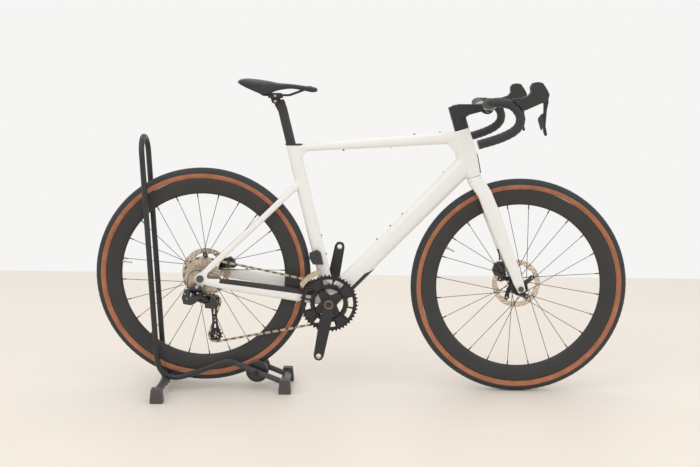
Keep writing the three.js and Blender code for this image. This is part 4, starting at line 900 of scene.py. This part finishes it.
def frame_and_fork():
    soften("frame", white_paint, "frame_paint", 2.4, 24, "frame_shell")
    soften("fork", white_paint, "frame_paint", 2.0, 24, "fork_shell")
    soften("seat_clamp_cover", moulded, "plastic", 1.0, 4)
    down_end = steer_point(54)
    under = []
    for k in range(15):
        t = 0.09 + 0.19 * k / 14
        width = 62 * min(1, 0.25 + 3 * (1 - k / 14))
        under.append((bracket.lerp(down_end, t), 31, 30 - 6 * t, 180 - width, 180 + width))
    guard("downtube_guard", under, "bike")
    rows = ((0.146, 67, 15.5, 6.8), (0.195, 65, 17, 7), (0.304, 57, 18.5, 8),
            (0.466, 49.5, 20, 8.5), (0.661, 38, 20.5, 9), (0.79, 33, 21, 9), (0.9, 27, 21, 9))
    stay = []
    for t, y, deep, wide in spline(rows, 4):
        centre = rear_axle.lerp(bracket, t) + Vector((0, -y, -7 + 13 * t))
        stay.append((centre, deep, wide, -40, 84 - 10 * t))
    guard("chainstay_guard", stay, "bike")
    # A dark satin strip laid over the head tube's lower front, widest at the bottom and tapering to a point
    # upward.
    nose = []
    for k in range(9):
        s = 6 + 62 * k / 8
        deep = 25 + 8 * s / 70
        half = 34 * (1 - k / 8) + 2
        nose.append((steer_point(s, -2 * s / 70), deep + 0.6, 27, 180 - half, 180 + half))
    guard("head_tube_dark_strip", nose, "bike", satin_black, "black_paint")
    bosses = Shape()
    top_start, top_end = seat_point(513), steer_point(133)
    down = math.degrees(math.atan2(down_end.z - bracket.z, down_end.x - bracket.x))
    top = math.degrees(math.atan2(top_end.z - top_start.z, top_end.x - top_start.x))
    places = [(bracket, down_end, t, 31, down + 90) for t in (0.49, 0.575, 0.395, 0.87)]
    places += [(seat_point(0, 4), seat_point(526, 4), t, 21.4, SEAT_FORWARD) for t in (0.29, 0.41)]
    places += [(top_start, top_end, t, 19, top + 90) for t in (0.72, 0.87)]
    places += [(top_start, top_end, t, 16.5, top - 90) for t in (0.3, 0.58)]
    for start, end, t, deep, way in places:
        centre = start.lerp(end, t)
        bolt(bosses, polar(centre, way, deep), polar(Vector((0, 0, 0)), way, 1), 3.4, 2.2)
    place(bosses.build("frame_bosses", satin_black), "bike", "black_alloy")
    low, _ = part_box("rear_thru_axle")
    outer = Vector((rear_axle.x, low.y / MM, rear_axle.z))
    cap = Shape()
    cap.lathe([(3.6, 2.5), (12, 2.5), (12, 5), (11.6, 1.2), (10.6, 0.2),
               (8.4, 0), (7.6, 1), (5, 1.2), (4.2, 0.4), (3.6, 0.8)], outer, 48)
    place(cap.build("rear_axle_head", gloss_black), "bike", "black_alloy")
    low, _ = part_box("front_thru_axle")
    outer = Vector((front_axle.x, low.y / MM, front_axle.z))
    front = Shape()
    front.lathe([(3.2, 2.5), (9, 2.5), (9, 1.2), (8.2, 0.2), (5.6, 0), (4.8, 1), (3.2, 1)], outer, 40)
    place(front.build("front_axle_head", gloss_black), "steering", "black_alloy")


def brakes():
    for node, body, axle, spots in (
        ("rear_brake_caliper", "bike", rear_axle, ((57, 33), (84, 43), (92, 24))),
        ("front_brake_caliper", "steering", front_axle, ((-70, 62), (-55, 36), (-62, 50))),
    ):
        soften(node, gloss_black, "black_alloy", 1.0, 5)
        low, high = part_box(node)
        details = Shape()
        for x, z in spots:
            for y, way in ((low.y / MM, -1), (high.y / MM, 1)):
                bolt(details, Vector((axle.x + x, y, axle.z + z)), (0, way, 0), 4.2, 1.6)
        place(details.build(node + "_bolts", dark_steel), body, "black_steel")
    hose(
        "rear_brake_hose", "bike", 2.4,
        [(103, 50, 26), (114, 49, 25), (128, 50, 20), (139, 52, 12.5)], rear_axle,
    )
    hose(
        "front_brake_hose", "steering", 2.4,
        [(-56, 42, 77.4), (-57, 42, 88), (-60, 43, 102), (-64, 44.5, 114)], front_axle,
    )
    hose(
        "shift_wire", "bike", 1.3,
        [(3, -80.8, 27), (-18, -82.8, 27), (-33, -84.8, 15), (-38, -85.8, -3), (-38.5, -85.8, -20),
         (-38, -84.8, -29.5)],
        rear_axle,
    )


def hose(node, body, radius, route, origin):
    """A line held at both ends, along its route from origin."""
    shape = Shape()
    path = [origin + Vector(p) for p in spline(route, 8)]
    shape.tube(path, radius, 14)
    for end, after in ((path[0], path[2]), (path[-1], path[-3])):
        way = (after - end).normalized()
        sizes = [radius + 1.1, radius + 1.1, radius + 0.3]
        shape.tube([end, end + way * 5, end + way * 6.5], sizes, 14, finish=1)
    place(shape.build(node + "_line", [rubber, moulded]), body, "rubber", node)


# ---------------------------------------------------------------- cockpit

BAR = [
    (0, 0, 0, 15.9, 15.9), (0, 24, 0, 15.9, 15.9), (1, 38, 1, 20, 13), (-5, 100, 7, 22, 12.5),
    (-13, BAR_HALF - 56, 14, 20, 13), (-13, BAR_HALF - 30, 17, 15, 14), (0, BAR_HALF - 14, 18, 14, 14),
    (25, BAR_HALF - 5, 17, 14, 14), (48, BAR_HALF, 11, 14, 14), (64, BAR_HALF + BAR_FLARE * 0.14, -3, 14, 14),
    (74.5, BAR_HALF + BAR_FLARE * 0.27, -23, 14, 14), (72.5, BAR_HALF + BAR_FLARE * 0.41, -46, 14, 14),
    (57, BAR_HALF + BAR_FLARE * 0.6, -65, 14, 14), (29, BAR_HALF + BAR_FLARE * 0.73, -81, 14, 14),
    (-5, BAR_HALF + BAR_FLARE * 0.86, -94, 14, 14), (-50, BAR_HALF + BAR_FLARE, -107, 14, 14),
]


def handlebar():
    rows = spline(BAR, 10)
    mirrored = [r * np.array((1, -1, 1, 1, 1)) for r in reversed(rows[1:])]
    whole = [*mirrored, *rows]
    tube = Shape()
    path = [bar_centre + Vector((x, y, z)) for x, y, z, _, _ in whole]
    slim = 1.3
    size = [(a - (0 if abs(y) < 112 else slim), b - (0 if abs(y) < 112 else slim)) for _, y, _, a, b in whole]
    start = len(mirrored)
    tube.tube(path[start:], size[start:], 28, across=(1, 0, 0))
    tube.tube(path[: start + 1][::-1], size[: start + 1][::-1], 28, across=(1, 0, 0))
    place(tube.build("handlebar_tube", gloss_black), "steering", "black_paint", "handlebar")
    wrap = 17.0
    for name, side in SIDES.items():
        dense = [r for r in spline(BAR, 60) if r[1] > 112]
        rings = []
        travelled = 0.0
        last = None
        u = Vector((1, 0, 0))
        points = [bar_centre + Vector((x, side * y, z)) for x, y, z, _, _ in dense]
        for i, (p, row) in enumerate(zip(points, dense)):
            travelled += (p - last).length if last is not None else 0
            last = p
            along = (points[min(len(points) - 1, i + 1)] - points[max(0, i - 1)]).normalized()
            u = (u - along * u.dot(along)).normalized()
            v = along.cross(u)
            ring = []
            for k in range(32):
                t = 2 * math.pi * k / 32
                phase = (travelled / wrap + side * k / 32) % 1
                ridge = 0.9 * min(1, phase / 0.82) if phase < 0.9 else 0.9 * (1 - phase) / 0.1
                grow = ridge - 0.4
                ring.append(p + u * (row[3] + grow) * math.cos(t) + v * (row[4] + grow) * math.sin(t))
            rings.append(ring)
        cover = Shape()
        cover.sweep(rings)
        place(cover.build("bar_tape_" + name, tape, 60), "steering", "bar_tape")
        end = points[-1]
        way = (points[-1] - points[-4]).normalized()
        plug = Shape()
        plug.tube([end - way * 2, end + way * 1.2, end + way * 2.6, end + way * 3], [14.6, 14.6, 12.5, 7], 28)
        place(plug.build("bar_plug_" + name, gloss_black), "steering", "plastic")


def cockpit():
    soften("stem", satin_black, "black_paint", 1.6, 5, "stem_body")
    soften("headset_spacer", satin_black, "plastic", 1.5, 4)
    handlebar()
    bolts = Shape()
    for y in (-9, 9):
        for up in (-12, 12):
            spot = polar(bar_centre, 17, 19.5, y) + Vector((0, 0, up))
            bolt(bolts, spot, (math.cos(math.radians(17)), 0, math.sin(math.radians(17))), 3.2, 1.6)
    top = steer_point(HEAD_TUBE + 34.5 + 46)
    way = Vector((math.cos(math.radians(STEER_UP)), 0, math.sin(math.radians(STEER_UP))))
    bolt(bolts, top - way * 1.2, way, 8, 2.4)
    place(bolts.build("stem_bolts", dark_steel), "steering", "black_steel")
    for name in SIDES:
        soften("hood_" + name, rubber, "rubber", 1.5, 28)
        soften("brake_lever_" + name, satin_black, "black_alloy", 0.9, 18)
        soften("shift_paddle_" + name, gloss_black, "plastic", 0.8, 12)


# ---------------------------------------------------------------- saddle and post

SADDLE = [
    (-116, 44, 64, 56, 58), (-106, 62, 69, 50, 56), (-86, 71, 71, 40, 51), (-56, 72, 69, 27, 46),
    (-34, 66, 66, 19, 43), (-16, 52, 63, 26, 41), (8, 37, 58, 34, 41), (50, 26, 55, 39, 44),
    (88, 22, 50, 34, 44), (112, 20, 47, 29, 42), (125, 17, 45, 29, 39), (131, 12, 42.5, 31, 37),
]


def saddle_ring(x, wide, top, skirt, under):
    high = top - skirt
    channel = 3.2 * math.exp(-((x + 10) / 70) ** 4)
    half = [
        (0, top - channel), (0.12 * wide, top - 0.75 * channel), (0.26 * wide, top - 0.1 * channel),
        (0.45 * wide, top - 0.02 * high), (0.62 * wide, top - 0.05 * high), (0.8 * wide, top - 0.14 * high),
        (0.93 * wide, top - 0.26 * high), (wide, top - 0.42 * high), (wide * 0.99, top - 0.7 * high),
        (wide * 0.975, skirt + 0.06 * high), (wide - 1.4, skirt), (wide - 4, skirt + 1.2),
        (max(wide - 9, 0.35 * wide), min(under, top - 6)), (0.2 * wide, min(under + 1.2, top - 5)),
        (0, min(under + 1.5, top - 5)),
    ]
    whole = half + [(-y, z) for y, z in reversed(half[1:-1])]
    return [post_head + Vector((x, y, z)) for y, z in whole]


def saddle():
    shape = Shape()
    rows = spline(SADDLE, 7)
    ends = [SADDLE[0][0] - 3, SADDLE[-1][0] + 3]
    tail = (ends[0], 30, 62, 58, 58.5)
    nose = (ends[1], 6, 39.5, 33.5, 35.5)
    rings = [saddle_ring(*row) for row in (tail, *rows, nose)]
    width = len(rings[0])
    edge = 10
    numbers = []
    for _ in range(len(rings) - 1):
        numbers += [0 if k < edge or k >= width - edge else 1 for k in range(width)]
    shape.sweep(rings, finish=numbers + [0, 0])
    cover = shape.build("saddle_pad", [skin, moulded], 60)
    swell = cover.modifiers.new("subdivide", "SUBSURF")
    swell.levels = swell.render_levels = 1
    apply_modifiers(cover)
    cover.data.shade_smooth()
    place(cover, "saddle", "saddle_skin", "saddle_cover")
    piping = Shape()
    trim = [ring[9] + Vector((0, 0.5, 0.6)) for ring in rings[2:-2]]
    other = [ring[width - 9] + Vector((0, -0.5, 0.6)) for ring in rings[2:-2]]
    for line in (trim, other):
        piping.tube(line, 0.8, 8)
    place(piping.build("saddle_edge_seam", moulded), "saddle", "plastic")
    rails = Shape()
    half = [((-78, 29, 28), 0), ((-38, RAIL_HALF, 0), 14), ((44, RAIL_HALF, 0), 16),
            ((98, 13, 20), 10), ((112, 5, 22), 0)]
    for side in (-1, 1):
        wire = rounded([(post_head + Vector((x, side * y, z + RAIL_HEIGHT)), r) for (x, y, z), r in half], 8)
        wire.append(post_head + Vector((113, 0, 41)))
        rails.tube(wire, RAIL_RADIUS, 18)
        socket = wire[0]
        stub = [socket + Vector((9, -side * 2, -7)), socket + Vector((-2, side, 3))]
        rails.tube(stub, [5, 7], 16, finish=1)
    rails.tube([post_head + Vector((x, 0, 41)) for x in (100, 104, 114, 118)], [4, 8, 8, 4], 16, finish=1)
    place(rails.build("saddle_rail_pair", [satin_black, moulded]), "saddle", "black_steel", "saddle_rails")


def seatpost():
    soften("seatpost", carbon, "carbon", 1.5, 6, "seatpost_body")
    soften("saddle_clamp", satin_black, "black_alloy", 1.0, 4, "saddle_clamp_body")
    bolts, ears = Shape(), Shape()
    for side in (-1, 1):
        spot = post_head + Vector((0, side * 28.5, 17))
        bolt(bolts, spot, (0, side, 0), 4.6, 3.4)
        ear = [post_head + Vector((x, 0, z)) for x, z in ((-15, 10), (-10, -6), (0, -9), (10, -6), (15, 10))]
        ears.plate(ear, side * 17.2, side * 21)
        bolt(bolts, post_head + Vector((0, side * 21, 0)), (0, side, 0), 4.5, 2.4)
    bolts.tube([post_head + Vector((0, y, 0)) for y in (-17.5, 17.5)], 4.5, 20)
    place(bolts.build("saddle_clamp_bolts", silver), "clamp", "steel")
    place(ears.build("saddle_clamp_ears", satin_black, bevel=1), "clamp", "black_alloy")


# ---------------------------------------------------------------- stand

def stand():
    rear_bar = polar(rear_axle, REAR_BAR_ANGLE, TYRE_RADIUS + CROSS_TUBE + RUN)
    front_bar = Vector((roller.x + FRONT_BAR_AHEAD, 0, FRONT_BAR_HEIGHT))
    corners = [(front_bar, 0), (roller + Vector((-90, 0, 39)), 62), (rear_bar + Vector((-21.5, 0, -17)), 78)]
    foot = corners[2][0]
    _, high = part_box("stand_hoop")
    arch = high.z / MM - HOOP_TUBE
    spring = arch - HOOP_HALF
    lean = lambda z: foot.x - (z - foot.z) * 0.0555
    near = rounded([(Vector((p.x, -HOOP_HALF, p.z)), r) for p, r in corners]
                   + [(Vector((lean(spring), -HOOP_HALF, spring)), 0)], 14)
    over = []
    for a in range(10, 180, 10):
        z = spring + HOOP_HALF * math.sin(math.radians(a))
        over.append(Vector((lean(z), -HOOP_HALF * math.cos(math.radians(a)), z)))
    far = [Vector((p.x, -p.y, p.z)) for p in reversed(near)]
    shape = Shape()
    shape.tube([*near, *over, *far], HOOP_TUBE, 28, across=(1, 0, 0))
    for bar, half in ((front_bar, 86), (rear_bar, 202.5)):
        shape.lathe([(9.5, -half), (CROSS_TUBE - 0.6, -half), (CROSS_TUBE, -half + 0.6),
                     (CROSS_TUBE, half - 0.6), (CROSS_TUBE - 0.6, half), (9.5, half)], bar, 40)
        for side in (-1, 1):
            y = side * HOOP_HALF
            bead = []
            for k in range(36):
                a = 10 * k
                wobble = 0.5 * math.sin(math.radians(a * 9))
                bead.append(polar(bar, a, CROSS_TUBE + 0.4 + wobble, y - side * (HOOP_TUBE + 0.5)))
            shape.tube(bead, 2.2, 10, closed=True)
    for side in (-1, 1):
        ear = [rear_bar + Vector((x, 0, z)) for x, z in ((-8, 0), (-20, 27), (-13, 38), (3, 25), (8, 0))]
        shape.plate(ear, side * 45, side * 38)
    place(shape.build("stand_frame", black_paint, 40), "stand", "black_paint", "stand_hoop")
    axle = Shape()
    axle.tube([roller + Vector((0, y, 0)) for y in (-66, 66)], 4, 20)
    for side in (-1, 1):
        for start, end, size in ((60.6, 61.8, 9), (61.8, 65, 7.2)):
            nut = ring_points(roller, size, 6 if size < 8 else 28)
            axle.plate(nut, side * start, side * end)
    place(axle.build("stand_roller_axle_rod", dark_steel, bevel=0.3), "stand", "steel", "stand_roller_axle")
    for name, side in SIDES.items():
        profile = [(4.4, 1), (8.6, 1), (8.8, 8), (11, 13), (20, 20.5), (31, 25.2), (35.5, 27), (37, 28.6),
                   (37, 36.2), (36, 37.6), (33, 39), (31, 39.6), (29.5, 37.4), (14, 37), (12.5, 39.6),
                   (4.4, 39.8)]
        wheel = Shape()
        wheel.lathe([(r, side * y) for r, y in profile], roller, 64)
        for k in range(6):
            rib = window(roller, 12, 30, 60 * k - 3, 60 * k + 3, 2)
            wheel.plate(rib, side * 36, side * 39)
        place(wheel.build("stand_roller_" + name + "_wheel", moulded, 34), "roller_" + name, "plastic",
              "stand_roller_" + name)
        for at in ("front", "rear"):
            node = f"stand_foot_{at}_{name}"
            soften(node, foot_rubber, "rubber", 1.3, 7)
    bracket_plate = Shape()
    for side in (-1, 1):
        outline = ((2, 10), (14, 2), (30, 2), (34, 12), (20, 17), (8, 22))
        strap = [foot + Vector((x, 0, z)) for x, z in outline]
        bracket_plate.plate(strap, side * 61.2, side * 62.6)
    place(bracket_plate.build("stand_bend_straps", dark_steel, bevel=0.3), "stand", "black_steel")


def carried_over():
    """Finishes for the CAD nodes that show as they are."""
    shown = {
        "bb_cup_right": anodised, "bb_cup_left": anodised,
        "rear_thru_axle": anodised, "front_thru_axle": anodised,
        "headset_bearing_lower": dark_steel, "headset_bearing_upper": dark_steel,
    }
    for node, made_of in shown.items():
        mesh = frame["nodes"][node].data
        mesh.materials.clear()
        mesh.materials.append(made_of)


camera()
studio()
wheels()
cassette()
chain()
chainrings()
cranks()
derailleurs()
frame_and_fork()
brakes()
cockpit()
saddle()
seatpost()
stand()
carried_over()
